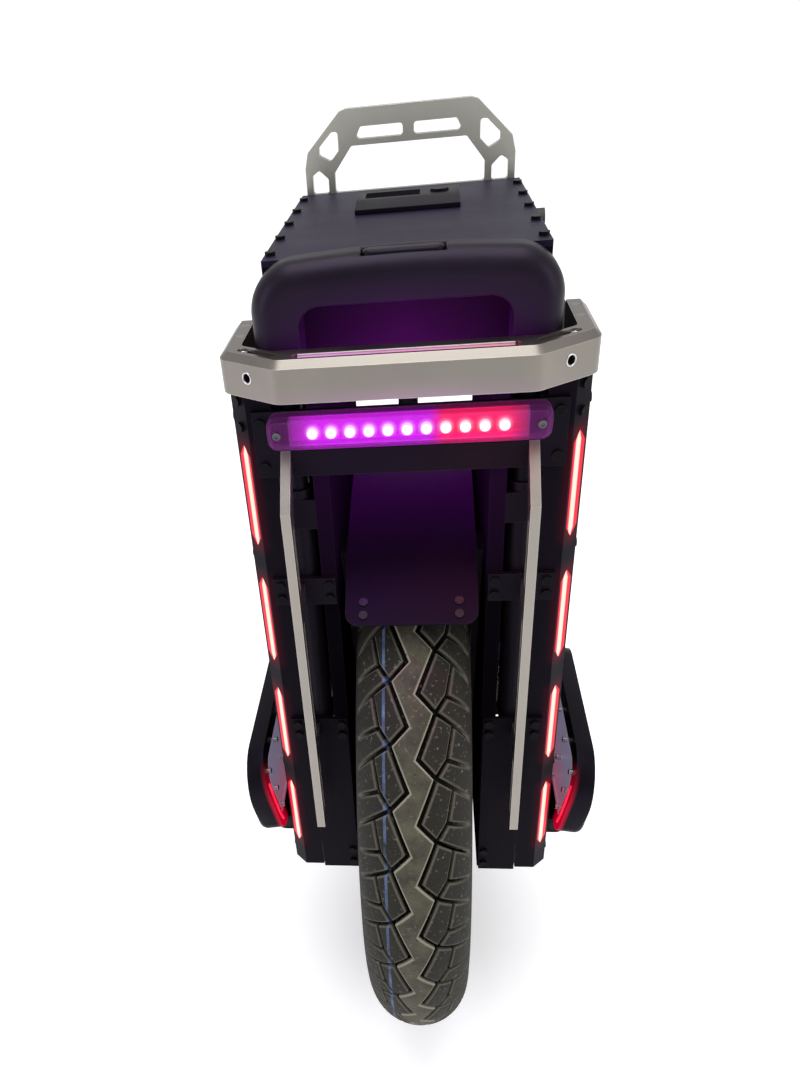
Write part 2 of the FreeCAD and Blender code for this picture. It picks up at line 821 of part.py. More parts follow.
def motor_core():
    """The axle with its nuts, and the fixed core and coils of the hub motor."""
    middle = cylinder("X", ("0", "axle_height"), ("-stay_inner", "stay_inner"), "axle_radius")
    ends = cylinder("X", ("0", "axle_height"), ("-axle_tip", "axle_tip"), "axle_end_radius")
    keep(fuse([middle, ends]), "axle")
    bore = cylinder("X", ("0", "axle_height"), ("stay_inner", "axle_tip + overshoot"),
                    "axle_end_radius + fit")
    nut = doc.addObject("Part::Prism", "Nut")
    nut.Polygon = 6
    nut.Placement.Rotation = AXIS_TURNS["X"]
    bind(nut, "Circumradius", "nut_radius")
    bind(nut, "Height", "nut_thickness")
    place(nut, "block_outer", "0", "axle_height")
    keep(pair(cut(nut, [bore])), "axle_nuts")
    keep(ring("axle_radius + fit", "stator_radius", ("-stator_half", "stator_half")), "stator_core")
    coils = []
    for number in range(COILS):
        turn = 360 * number / COILS
        coil = doc.addObject("Part::Box", "Coil")
        bind(coil, "Length", "coil_half * 2")
        bind(coil, "Width", "coil_width")
        bind(coil, "Height", "coil_height")
        coil.Placement.Rotation = FreeCAD.Rotation(FreeCAD.Vector(1, 0, 0), turn)
        place(coil, "-coil_half",
              "-coil_width / 2 * cos(%g deg) - stator_radius * sin(%g deg)" % (turn, turn),
              "axle_height - coil_width / 2 * sin(%g deg) + stator_radius * cos(%g deg)" % (turn, turn))
        coils.append(coil)
    keep(group(coils), "stator_coils")
    return bore


def carrier(bore):
    """What rises with the axle: slider blocks, shock rods and the mudguard on its stays."""
    tongue = block(("stay_outer", "block_outer"), ("-slot_half + gap", "slot_half - gap"),
                   ("axle_height - block_half", "axle_height + block_half"))
    flange = block(("plate_outer + gap", "block_outer"),
                   ("-slot_half - flange_lip", "slot_half + flange_lip"),
                   ("axle_height - block_half - flange_lip", "shelf_top"))
    shelf = block(("block_outer", "bay_middle + shock_radius"), ("-shock_radius", "shock_radius"),
                  ("shelf_bottom", "shelf_top"))
    keep(pair(cut(fuse([tongue, flange, shelf]), [bore])), "slider_blocks")
    rod = cylinder("Z", ("bay_middle", "0"), ("shelf_top", "piston_bottom"), "shock_rod")
    piston = cylinder("Z", ("bay_middle", "0"), ("piston_bottom", "piston_bottom + piston_height"),
                      "shock_bore - gap")
    keep(pair(fuse([rod, piston])), "shock_rods")

    guard = turned([
        ("-stay_inner", "mud_radius"), ("stay_inner", "mud_radius"),
        ("stay_inner", "mud_outer"), ("-stay_inner", "mud_outer"),
    ], "mud_rear_angle", "mud_front_angle")
    sheet_edge = number_of("mud_thickness")
    soften(guard, "Fillet", "mud_corner",
           lambda edge: abs(edge.Length - sheet_edge) < SAME and edge.CenterOfMass.y < 0)
    screws = []
    holes = []
    for from_edge in ("mud_screw_first", "mud_screw_second"):
        angle = "((mud_rear_angle - %s) * 1 deg)" % from_edge
        seat = ("mud_screw_x", "-mud_outer * sin%s" % angle, "axle_height + mud_outer * cos%s" % angle)
        lean = FreeCAD.Rotation(FreeCAD.Vector(1, 0, 0), number_of("mud_rear_angle - " + from_edge))
        row_screws, row_holes = fasteners([seat], lean.multVec(UP), "mud_screw")
        screws += row_screws
        holes += row_holes
    keep(pair(group(screws)), "mudguard_screws")
    drilled = group(holes)
    keep(cut(guard, [drilled, mirror(drilled)]), "mudguard")

    bar = doc.addObject("Part::Box", "Stay")
    bind(bar, "Length", "stay_thickness")
    bind(bar, "Width", "stay_half * 2")
    bind(bar, "Height", "mud_outer")
    bar.Placement.Rotation.Axis = FreeCAD.Vector(1, 0, 0)
    bind(bar, "Placement.Rotation.Angle", "stay_angle")
    place(bar, "stay_inner", "-stay_half * cos(stay_angle * 1 deg)",
          "axle_height - stay_half * sin(stay_angle * 1 deg)")
    eye = cylinder("X", ("0", "axle_height"), ("stay_inner", "stay_outer"), "stay_ring")
    keep(pair(cut(fuse([bar, eye]), [bore])), "mudguard_stays")


def rear_seats():
    """Screw seats of the right rear tie plate, lower cover and light bracket."""
    seats = []
    for bottom in ("tie_bottom", "lower_tie_bottom"):
        for x in ("plate_middle", "tie_screw_x"):
            for side in ("-", "+"):
                seats.append((x, "-tie_face", "%s + tie_height / 2 %s tie_screw_spread" % (bottom, side)))
    for step in ("0", "1"):
        seats.append(("plate_middle", "-tie_face",
                      "frame_bottom + tie_screw_inset + %s * lower_screw_spacing" % step))
        seats.append(("tie_screw_x", "-tie_face",
                      "bracket_bottom + tie_screw_inset + %s * bracket_screw_spacing" % step))
    return seats


def cover_seats():
    """Screw seats round the edge of the right side cover."""
    low = "cavity_bottom - cover_ledge / 2"
    high = "cavity_top + cover_ledge / 2"
    seats = []
    for side in ("-", ""):
        for number in range(CASE_COVER_SCREWS):
            share = number / (CASE_COVER_SCREWS - 1)
            height = "%g * (%s) + %g * (%s)" % (1 - share, low, share, high)
            seats.append(("case_outer", "%s(cavity_reach + cover_ledge / 2)" % side, height))
    return seats


def lid_seats():
    """Screw seats along both edges of the lid."""
    seats = []
    for side in ("-", ""):
        for step in spread(LID_SCREWS):
            seats.append(("%s(box_half - lid_screw_inset)" % side,
                          "lid_screw_centre + %g * lid_screw_pitch" % step, "lid_top"))
    return seats


def frame_plates(rear_holes, front_holes):
    """The two plates beside the tyre, slotted for the slider blocks."""
    plate = block(("plate_inner", "plate_outer"), ("-frame_half", "frame_half"),
                  ("frame_bottom", "frame_top"))
    slot = block(("plate_inner - overshoot", "plate_outer + overshoot"), ("-slot_half", "slot_half"),
                 ("axle_height - block_half - gap", "axle_height + block_half + travel + gap"))
    keep(pair(cut(plate, [slot, rear_holes, front_holes])), "frame_plates")


def light_strips(clearance, front):
    """The pointed light strips of the right case, or the slots for them when there is a clearance."""
    half = "strip_half_width + " + clearance
    end = "strip_length / 2 + " + clearance
    straight = "strip_length / 2 - strip_point"
    strips = []
    for number in range(STRIPS):
        strip = profile("XZ", [
            ("0", "-(%s)" % end), (half, "-(%s)" % straight), (half, straight), ("0", end),
            ("-(%s)" % half, straight), ("-(%s)" % half, "-(%s)" % straight),
        ], (front, "strip_depth + " + clearance))
        strip.Placement.Rotation = FreeCAD.Rotation(UP, 45)
        place(strip, "strip_x", "-strip_y", "strip_first - %d * strip_pitch" % number)
        strips.append(strip)
    return strips


def battery_cases(cuts, cover_holes):
    """The chamfered cases outside the frame plates, with light strips, battery packs and side covers."""
    corner = "case_outer - case_chamfer"
    shell = profile("XY", [
        ("case_inner", "-frame_half"), (corner, "-frame_half"), ("case_outer", "-frame_half + case_chamfer"),
        ("case_outer", "frame_half - case_chamfer"), (corner, "frame_half"), ("case_inner", "frame_half"),
    ], ("case_bottom", "case_top"))
    cavity = block(("case_inner + case_wall", "case_outer + overshoot"), ("-cavity_reach", "cavity_reach"),
                   ("cavity_bottom", "cavity_top"))
    rebate = block(("cover_inner", "case_outer + overshoot"),
                   ("-cavity_reach - cover_ledge", "cavity_reach + cover_ledge"),
                   ("cavity_bottom - cover_ledge", "cavity_top + cover_ledge"))
    right_case = cut(shell, [cavity, rebate, cover_holes] + cuts + light_strips("strip_gap", "-overshoot"))
    keep(right_case, "right_battery_case")
    keep(mirror(right_case), "left_battery_case")
    right_strips = group(light_strips("0", "0"))
    keep(right_strips, "right_light_strips")
    keep(mirror(right_strips), "left_light_strips")
    reach = "cavity_reach + cover_ledge - gap"
    cover = block(("cover_inner", "case_outer"), ("-(%s)" % reach, reach),
                  ("cavity_bottom - cover_ledge + gap", "cavity_top + cover_ledge - gap"))
    keep(pair(cut(cover, [cover_holes])), "side_covers")
    pack = block(("case_inner + case_wall", "cover_inner - pack_gap"),
                 ("-cavity_reach + pack_gap", "cavity_reach - pack_gap"),
                 ("cavity_bottom", "cavity_top - pack_gap"))
    keep(pair(pack), "battery_packs")


def ties(rear_holes):
    """Tie plates and lower covers, which join each frame plate to its case at both ends."""
    tie = block(("tie_inner", "tie_outer"), ("-tie_face", "-frame_half"),
                ("tie_bottom", "tie_bottom + tie_height"))
    lower = profile("XZ", [
        ("tie_inner", "frame_bottom"), ("lower_cover_outer", "frame_bottom"),
        ("lower_cover_outer", "lower_tie_bottom"), ("tie_outer", "lower_tie_bottom"),
        ("tie_outer", "lower_tie_bottom + tie_height"), ("tie_inner", "lower_tie_bottom + tie_height"),
    ], ("-tie_face", "-frame_half"))
    for name, piece in (("tie_plates", tie), ("lower_covers", lower)):
        keep(pair(pair(cut(piece, [rear_holes])), "Y"), name)


def body_shell():
    """Frame plates, cases and ties with all their screws; gives the holes that other pieces share."""
    tie_screws, tie_holes = fasteners(rear_seats(), (0, -1, 0), "screw")
    cover_screws, cover_holes = fasteners(cover_seats(), (1, 0, 0), "screw")
    drops = ("case_bolt_first", "case_bolt_second")
    bolt_seats = [("strip_x", "-strip_y", "case_top - " + drop) for drop in drops]
    case_bolts, case_holes = fasteners(bolt_seats, (1, -1, 0), "screw")
    lid_screws, lid_holes = fasteners(lid_seats(), (0, 0, 1), "screw")
    handle_spots = [("%s * handle_bolt_pitch" % step, "handle_front", "lid_bottom - handle_apron / 2")
                    for step in ("-1", "0", "1")]
    handle_bolts, handle_holes = fasteners(handle_spots, (0, 1, 0), "bolt")
    rail_x = "rail_half - rail_thickness + rail_bolt_edge"
    rail_spots = [(rail_x, "-rail_front - rail_bolt_inset - %s * rail_bolt_spacing" % step, "rail_seat")
                  for step in ("0", "1")]
    rail_bolts, rail_holes = fasteners(rail_spots, (0, 0, 1), "rail_bolt")
    sinks = [cylinder("Z", (x, y), (z, "rail_top + overshoot"), "rail_bolt_head + gap")
             for x, y, z in rail_spots]

    rear_holes = group(tie_holes)
    front_holes = mirror(rear_holes, "Y")
    frame_plates(rear_holes, front_holes)
    battery_cases([rear_holes, front_holes, group(rail_holes), group(case_holes)], group(cover_holes))
    ties(rear_holes)
    keep(group([pair(pair(group(tie_screws)), "Y"), pair(group(cover_screws + case_bolts))] + lid_screws),
         "panel_screws")
    keep(group([pair(group(rail_bolts))] + handle_bolts), "frame_bolts")
    return rear_holes, group(lid_holes), group(handle_holes), group(rail_holes + sinks)


def guard_bars():
    """Bent flat bars that stand off the tie plates, with slots along their sides."""
    points = [("-bar_face", "bar_bottom"), ("-bar_front", "bar_bottom")]
    for lug in ("bar_lug_low", "bar_lug_high"):
        points += [("-bar_front", lug), ("-tie_face", lug),
                   ("-tie_face", lug + " + bar_lug"), ("-bar_front", lug + " + bar_lug")]
    points += [("-bar_front", "bar_kink - bar_elbow"), ("-tie_face", "bar_top - bar_root"),
               ("-tie_face", "bar_top"), ("-bar_face", "bar_kink")]
    bar = profile("YZ", points, ("bar_inner", "bar_outer"))
    stretches = [("bar_bottom + bar_slot_end", "bar_lug_low - bar_slot_margin"),
                 ("bar_lug_low + bar_lug + bar_slot_margin", "bar_lug_high - bar_slot_margin"),
                 ("bar_lug_high + bar_lug + bar_slot_margin", "bar_kink - bar_slot_end")]
    slots = []
    for stretch in stretches:
        slots.append(block(("bar_inner - overshoot", "bar_outer + overshoot"),
                           ("-bar_middle - bar_slot / 2", "-bar_middle + bar_slot / 2"), stretch))
    right_bar = cut(bar, slots)
    left_bar = mirror(right_bar)
    keep(right_bar, "right_guard_bar")
    keep(left_bar, "left_guard_bar")
    keep(group([mirror(right_bar, "Y"), mirror(left_bar, "Y")]), "front_guard_bars")


def tail_light():
    """A round-ended lens over a row of lamps on their board."""
    lens = profile("XZ", [
        ("-lens_half", "lens_bottom"), ("lens_half", "lens_bottom"),
        ("lens_half", "lens_top"), ("-lens_half", "lens_top"),
    ], ("-lens_face", "-tie_face"))
    soften(lens, "Fillet", "lens_corner", along("Y"))
    soften(lens, "Chamfer", "lens_wall", lying_at("Y", "-lens_face"))
    hollow = block(("-lens_half + lens_end", "lens_half - lens_end"),
                   ("-lens_face + lens_wall", "-tie_face + overshoot"),
                   ("lens_bottom + lens_wall", "lens_top - lens_wall"))
    keep(cut(lens, [hollow]), "tail_light_lens")
    keep(block(("-lens_half + lens_end + gap", "lens_half - lens_end - gap"),
               ("-tie_face - lamp_board", "-tie_face"),
               ("lens_bottom + lens_wall + gap", "lens_top - lens_wall - gap")), "tail_light_board")
    face = "-tie_face - lamp_board"
    lamps = [cylinder("Y", ("%g * lamp_pitch" % step, "lamp_height"), (face + " - lamp_length", face),
                      "lamp_radius") for step in spread(LAMPS)]
    keep(group(lamps), "tail_light_lamps")


def headlight():
    """A box lens over two round lamps on the front bracket."""
    low = "bracket_middle - head_lens_height / 2"
    high = "bracket_middle + head_lens_height / 2"
    lens = block(("-head_lens_half", "head_lens_half"), ("tie_face", "head_lens_face"), (low, high))
    room = block(("-head_lens_half + lens_wall", "head_lens_half - lens_wall"),
                 ("tie_face - overshoot", "head_lens_face - lens_wall"),
                 (low + " + lens_wall", high + " - lens_wall"))
    keep(cut(lens, [room]), "headlight_lens")
    lamps = [cylinder("Y", ("%g * head_lamp_spacing" % step, "bracket_middle"),
                      ("tie_face", "head_lens_face - 2 * lens_wall"), "head_lamp_radius")
             for step in spread(HEAD_LAMPS)]
    keep(group(lamps), "headlight_lamps")


def lights(rear_holes):
    """Tail light and headlight, each on a bracket across the cases."""
    bracket = block(("-tie_outer", "tie_outer"), ("-tie_face", "-frame_half"),
                    ("bracket_bottom", "bracket_top"))
    keep(pair(cut(bracket, [rear_holes, mirror(rear_holes)]), "Y"), "light_brackets")
    tail_light()
    headlight()


def display_pod():
    """The low pod on the lid with its window and the power button."""
    pod = profile("YZ", [
        ("pod_rear", "lid_top"), ("pod_front", "lid_top"), ("pod_front", "pod_top"),
        ("pod_rear + pod_slope", "pod_top"), ("pod_rear", "lid_top + pod_lip"),
    ], ("-pod_half", "pod_half"))
    pane = block(("-window_left", "window_right"), ("window_rear", "window_front"),
                 ("pod_top - window_depth", "pod_top + overshoot"))
    well = cylinder("Z", ("power_x", "power_y"), ("pod_top - power_height", "pod_top + overshoot"),
                    "power_radius + gap")
    keep(cut(pod, [pane, well]), "display_pod")
    keep(block(("-window_left + window_gap", "window_right - window_gap"),
               ("window_rear + window_gap", "window_front - window_gap"),
               ("pod_top - window_depth", "pod_top")), "display_window")
    rest = "pod_top + power_travel + gap"
    button = cylinder("Z", ("power_x", "power_y"), (rest + " - power_height", rest), "power_radius")
    keep(button, "power_button")


def charge_port():
    """The charge socket in the right wall of the top box, and its cap on a strap."""
    centre = ("charge_y", "charge_z")
    flange = cylinder("X", centre, ("box_half", "box_half + charge_flange"), "charge_radius")
    barrel = cylinder("X", centre, ("box_half - charge_barrel", "box_half"),
                      "charge_radius - charge_flange - fit")
    hinge = ("cap_hinge_x", "cap_hinge_y")
    ear_inside = "cap_tab / 2 + gap"
    ear_outside = ear_inside + " + cap_ear"
    pin = cylinder("Z", hinge, ("charge_z - (%s)" % ear_outside, "charge_z + " + ear_outside), "cap_pin")
    half = "cap_tab_thickness / 2"
    across = ("cap_hinge_y - " + half, "cap_hinge_y + " + half)
    ears = [block(("box_half", "cap_hinge_x + " + half), across, span)
            for span in (("charge_z + " + ear_inside, "charge_z + " + ear_outside),
                         ("charge_z - (%s)" % ear_outside, "charge_z - (%s)" % ear_inside))]
    keep(group([fuse([flange, barrel]), fuse(ears + [pin])]), "charge_socket")
    cap = cylinder("X", centre, ("cap_face", "cap_face + cap_thickness"), "cap_radius")
    tab_span = ("charge_z - cap_tab / 2", "charge_z + cap_tab / 2")
    tab = block(("cap_face", "cap_face + cap_tab_thickness"), ("cap_hinge_y", "charge_y"), tab_span)
    knuckle = cylinder("Z", hinge, tab_span, half)
    pin_bore = cylinder("Z", hinge, ("charge_z - cap_tab", "charge_z + cap_tab"), "cap_pin + fit")
    keep(cut(fuse([cap, tab, knuckle]), [pin_bore]), "charge_cap")
    return cylinder("X", centre, ("box_half - charge_barrel - overshoot", "box_half + overshoot"),
                    "charge_radius - charge_flange")


def top_box(lid_holes, handle_holes):
    """The box over the wheel with its lid, controller, display, charge port and bump stop."""
    outer = block(("-box_half", "box_half"), ("-box_rear", "box_front"), ("frame_top", "lid_bottom"))
    inner = block(("-box_half + box_wall", "box_half - box_wall"),
                  ("-box_rear + box_wall", "box_front - box_wall"), ("floor_top", "lid_bottom + overshoot"))
    posts = [cylinder("Z", (x, y), ("frame_top", "lid_bottom"), "post_radius") for x, y, top in lid_seats()]
    socket_hole = charge_port()
    keep(cut(fuse([cut(outer, [inner])] + posts), [lid_holes, handle_holes, socket_hole]), "control_box")
    lid = block(("-box_half", "box_half"), ("-box_rear", "box_front"), ("lid_bottom", "lid_top"))
    keep(cut(lid, [lid_holes]), "top_plate")

    board = [block(("-board_half", "board_half"), ("board_rear", "board_front"),
                   ("board_bottom", "board_bottom + board_thickness"))]
    for x in ("-board_half + post_radius", "board_half - post_radius"):
        for y in ("board_rear + post_radius", "board_front - post_radius"):
            board.append(cylinder("Z", (x, y), ("floor_top", "board_bottom"), "post_radius"))
    for step in ("-1", "0", "1"):
        board.append(cylinder("Z", ("%s * board_half / 2" % step, "(board_rear + board_front) / 2"),
                              ("board_bottom", "board_bottom + capacitor_height"), "capacitor_radius"))
    keep(fuse(board), "control_board")
    display_pod()
    stop = cylinder("Z", ("0", "-stop_y"), ("frame_top - stop_height", "frame_top"), "stop_radius")
    keep(stop, "bump_stop")


def lift_handle(handle_holes):
    """The flat truss-shaped handle on the front wall of the top box."""
    shoulder = "lid_top + handle_shoulder"
    foot = "handle_half - handle_foot"
    through = ("box_front - overshoot", "handle_front + overshoot")

    def both_sides(points):
        return points + [("-(%s)" % u, v) for u, v in reversed(points)]

    plate = profile("XZ", both_sides([
        ("handle_half", "lid_bottom - handle_apron"), ("handle_half", "lid_top + handle_side"),
        ("handle_half - handle_lean", shoulder),
        ("handle_top_half + handle_nose", "handle_peak - handle_nose_drop"),
        ("handle_top_half", "handle_peak"),
    ]), ("box_front", "handle_front"))
    hand = profile("XZ", both_sides([
        (foot, "lid_top"), (foot, "lid_top + hand_rise"), ("handle_bar_half", "handle_bar"),
    ]), through)
    arch = profile("XZ", [
        (foot + " + handle_leg", "lid_top"), ("handle_half - handle_leg", "lid_top"),
        ("handle_half - handle_leg", "lid_top + arch_rise"),
        ("handle_half - arch_lean", "lid_top + arch_peak"), (foot + " + handle_leg", "lid_top + arch_low"),
    ], through)
    truss = profile("XZ", [
        ("handle_top_half + truss_edge", "handle_peak - truss_drop"),
        ("handle_top_half + truss_edge", "handle_bar - truss_low"),
        (foot + " + truss_low", "lid_top + truss_rise"),
        ("handle_half - truss_side", shoulder + " - truss_low"),
        ("handle_half - truss_side", shoulder + " + truss_low"),
        ("handle_top_half + truss_side", "handle_peak - truss_drop"),
    ], through)
    slit = profile("XZ", [
        ("slit_gap", "handle_bar + slit_chord"), ("slit_half", "handle_bar + slit_chord"),
        ("slit_half - slit_gap", "handle_bar + slit_chord + slit_height"),
        ("slit_gap", "handle_bar + slit_chord + slit_height"),
    ], through)
    for opening in (hand, arch, truss, slit):
        soften(opening, "Fillet", "handle_fillet", along("Y"))
    keep(cut(plate, [hand, handle_holes] + [pair(opening) for opening in (arch, truss, slit)]), "lift_handle")


def rail_cuts():
    """The long slot through the back of the rail, and the tapped hole and recess at its right corner."""
    slot_near = "-rail_rear + rail_slot_inset"
    slot_half_width = "rail_slot_width / 2"
    through = ("case_top - overshoot", "rail_top + overshoot")
    across = (slot_near, slot_near + " + rail_slot_width")
    slot = [block(("-rail_slot_half", "rail_slot_half"), across, through)]
    for end in ("-rail_slot_half", "rail_slot_half"):
        slot.append(cylinder("Z", (end, slot_near + " + " + slot_half_width), through, slot_half_width))

    middle_x = "(rail_half + rail_flat_half) / 2"
    middle_y = "-(rail_rear + rail_corner) / 2"
    side_x = "rail_slope / rail_slope_run"
    side_y = "rail_slope_x / rail_slope_run"
    slope, slope_x = number_of("rail_slope"), number_of("rail_slope_x")
    hole = doc.addObject("Part::Cylinder", "Hole")
    bind(hole, "Radius", "rail_hole")
    bind(hole, "Height", "rail_hole_depth + overshoot")
    hole.Placement.Rotation = FreeCAD.Rotation(UP, FreeCAD.Vector(-slope, slope_x, 0))
    place(hole, "%s + overshoot * %s" % (middle_x, side_x), "%s - overshoot * %s" % (middle_y, side_y),
          "case_top + rail_height / 2")

    floor = "rail_top - rail_recess_depth"
    span = (floor, "rail_top + overshoot")
    trough = doc.addObject("Part::Box", "Trough")
    bind(trough, "Length", "rail_recess_length")
    bind(trough, "Width", "rail_recess_width")
    bind(trough, "Height", "rail_recess_depth + overshoot")
    trough.Placement.Rotation = FreeCAD.Rotation(UP, math.degrees(math.atan2(slope, slope_x)))
    inward = "(rail_recess_inset - rail_recess_width / 2)"
    back = "rail_recess_length / 2"
    place(trough, "%s - %s * %s - %s * %s" % (middle_x, inward, side_x, back, side_y),
          "%s + %s * %s - %s * %s" % (middle_y, inward, side_y, back, side_x), floor)
    recess = [trough]
    for sign in ("-", "+"):
        spot = ("%s - rail_recess_inset * %s %s %s * %s" % (middle_x, side_x, sign, back, side_y),
                "%s + rail_recess_inset * %s %s %s * %s" % (middle_y, side_y, sign, back, side_x))
        recess.append(cylinder("Z", spot, span, "rail_recess_width / 2"))
    return [fuse(slot), pair(hole), pair(fuse(recess))]


def rear_rail(rail_holes):
    """The bent bumper rail on top of the cases, with a broad bevel round its outer top edge."""
    inner_x = "rail_half - rail_thickness"
    # The inner face of the corner is parallel to the outer one.
    bend = ("rail_corner - (rail_corner_thickness * rail_slope_run - rail_thickness * rail_slope)"
            " / rail_slope_x")
    back = "rail_rear - rail_back"
    turn_x = "%s - ((%s) - (%s)) * rail_slope_x / rail_slope" % (inner_x, back, bend)

    def outline(points, span):
        return profile("XY", points + [("-(%s)" % u, v) for u, v in reversed(points)], span)

    outside = [("rail_half", "-rail_front"), ("rail_half", "-rail_corner"), ("rail_flat_half", "-rail_rear")]
    inside = [(inner_x, "-rail_front + overshoot"), (inner_x, "-(%s)" % bend), (turn_x, "-(%s)" % back)]
    rail = outline(outside, ("case_top", "rail_top"))
    bends = outside[1:] + [("-" + u, v) for u, v in outside[1:]]
    soften(rail, "Fillet", "rail_round", upright_at("Z", bends))
    at_top = lying_at("Z", "rail_top")
    front = -number_of("rail_front")
    soften(rail, "Chamfer", "rail_bevel", lambda edge: at_top(edge) and edge.CenterOfMass.y < front - SAME)
    room = outline(inside, ("case_top - overshoot", "rail_top + overshoot"))
    corners = inside[1:] + [("-(%s)" % u, v) for u, v in inside[1:]]
    soften(room, "Fillet", "rail_inner_round", upright_at("Z", corners))
    keep(cut(rail, [room, pair(rail_holes)] + rail_cuts()), "rear_rail")


def trolley_grip():
    """The crowned grip with its hand opening, and the release button in its top."""
    corners = [("grip_half", "grip_top - grip_crown"), ("-grip_half", "grip_top - grip_crown")]
    inner_corners = [("grip_opening_half", "grip_ceiling"), ("-grip_opening_half", "grip_ceiling")]
    grip = profile("XZ", [
        ("grip_half", "grip_bottom"), corners[0] + ("grip_crown",), corners[1], ("-grip_half", "grip_bottom"),
        ("-grip_opening_half", "grip_bottom"), inner_corners[1], inner_corners[0],
        ("grip_opening_half", "grip_bottom"),
    ], ("-grip_rear", "-grip_front"))
    soften(grip, "Fillet", "grip_corner", upright_at("Y", corners))
    soften(grip, "Fillet", "grip_opening_corner", upright_at("Y", inner_corners))
    opening = number_of("grip_opening_half")
    bottom = number_of("grip_bottom")

    def outer_rim(level):
        in_face = lying_at("Y", level)

        def chosen(edge):
            reach = max(abs(edge.BoundBox.XMin), abs(edge.BoundBox.XMax))
            return in_face(edge) and reach > opening + SAME and edge.BoundBox.ZMax > bottom + SAME
        return chosen

    soften(grip, "Fillet", "grip_round", outer_rim("-grip_rear"))
    soften(grip, "Fillet", "grip_front_round", outer_rim("-grip_front"))
    pocket = block(("-button_half - gap", "button_half + gap"), ("-button_rear - gap", "-button_front + gap"),
                   ("grip_top - button_height - button_travel - gap", "grip_top + overshoot"))
    bores = [cylinder("Z", ("%sbay_middle" % side, "-leg_y"), ("grip_bottom - overshoot", "leg_top"),
                      "leg_radius + fit") for side in ("-", "")]
    keep(cut(grip, [pocket] + bores), "trolley_grip")
    keep(block(("-button_half", "button_half"), ("-button_rear", "-button_front"),
               ("grip_top - button_height", "grip_top")), "trolley_button")


def trolley_legs():
    """The legs of the trolley handle, and the fixed sleeves and clamps that they slide in."""
    centre = ("bay_middle", "-leg_y")
    leg = cylinder("Z", centre, ("leg_bottom", "leg_top"), "leg_radius")
    keep(pair(leg), "trolley_legs")
    tube = cylinder("Z", centre, ("sleeve_bottom", "sleeve_top"), "sleeve_radius")
    bore = cylinder("Z", centre, ("sleeve_bottom + sleeve_wall", "sleeve_top + overshoot"), "sleeve_bore")
    keep(pair(cut(tube, [bore])), "trolley_sleeves")
    hold = cylinder("Z", centre, ("sleeve_bottom", "sleeve_top"), "sleeve_radius + fit")
    clamps = []
    for low in ("clamp_low", "clamp_high"):
        body = block(("plate_outer", "case_inner"),
                     ("-frame_half + gap", "-leg_y + sleeve_radius + sleeve_wall"),
                     (low, low + " + clamp_height"))
        clamps.append(cut(body, [hold]))
    keep(pair(group(clamps)), "sleeve_clamps")


def shocks():
    """Air shock bodies, hung from lugs on the frame plates."""
    centre = ("bay_middle", "0")
    tube = cylinder("Z", centre, ("shock_bottom", "shock_top"), "shock_radius")
    lug = block(("plate_outer", "bay_middle + shock_radius"), ("-shock_radius", "shock_radius"),
                ("shock_top", "shock_top + shock_lug"))
    bore = cylinder("Z", centre, ("shock_bottom + shock_gland", "shock_top - shock_wall"), "shock_bore")
    gland = cylinder("Z", centre, ("shock_bottom - overshoot", "shock_bottom + shock_gland + overshoot"),
                     "shock_rod + gap")
    keep(pair(cut(fuse([tube, lug]), [bore, gland])), "shock_bodies")


def pedal_hinges():
    """Brackets on the cases with the pins that the pedals fold on."""
    base_low = "case_bottom + bracket_base_lift"
    base = "case_outer + bracket_base"
    shift = " - pedal_shift"
    parts = [block(("case_outer", base), ("-bracket_base_half" + shift, "bracket_base_half" + shift),
                   (base_low, base_low + " + bracket_base_height"))]
    for ends in (("lug_inner", "lug_outer"), ("-lug_outer", "-lug_inner")):
        y_span = [end + shift for end in ends]
        parts.append(cylinder("Y", ("pin_x", "pin_z"), y_span, "lug_radius"))
        parts.append(block((base, "pin_x"), y_span, ("pin_z - lug_radius", "pin_z + lug_radius")))
    y_span = ("-lug_outer" + shift, "lug_outer" + shift)
    eye = cylinder("Y", ("pin_x", "pin_z"), (y_span[0] + " - overshoot", y_span[1] + " + overshoot"),
                   "pin_radius + fit")
    keep(pair(cut(fuse(parts), [eye])), "pedal_brackets")
    keep(pair(cylinder("Y", ("pin_x", "pin_z"), y_span, "pin_radius")), "pedal_pins")


def fold(item):
    """Turns a pedal piece, drawn flat about the hinge pin, up to its folded place."""
    turner = group([item])
    turner.Placement.Rotation.Axis = FreeCAD.Vector(0, 1, 0)
    bind(turner, "Placement.Rotation.Angle", "-pedal_fold_angle")
    place(turner, "pin_x", "-pedal_shift", "pin_z")
    return turner


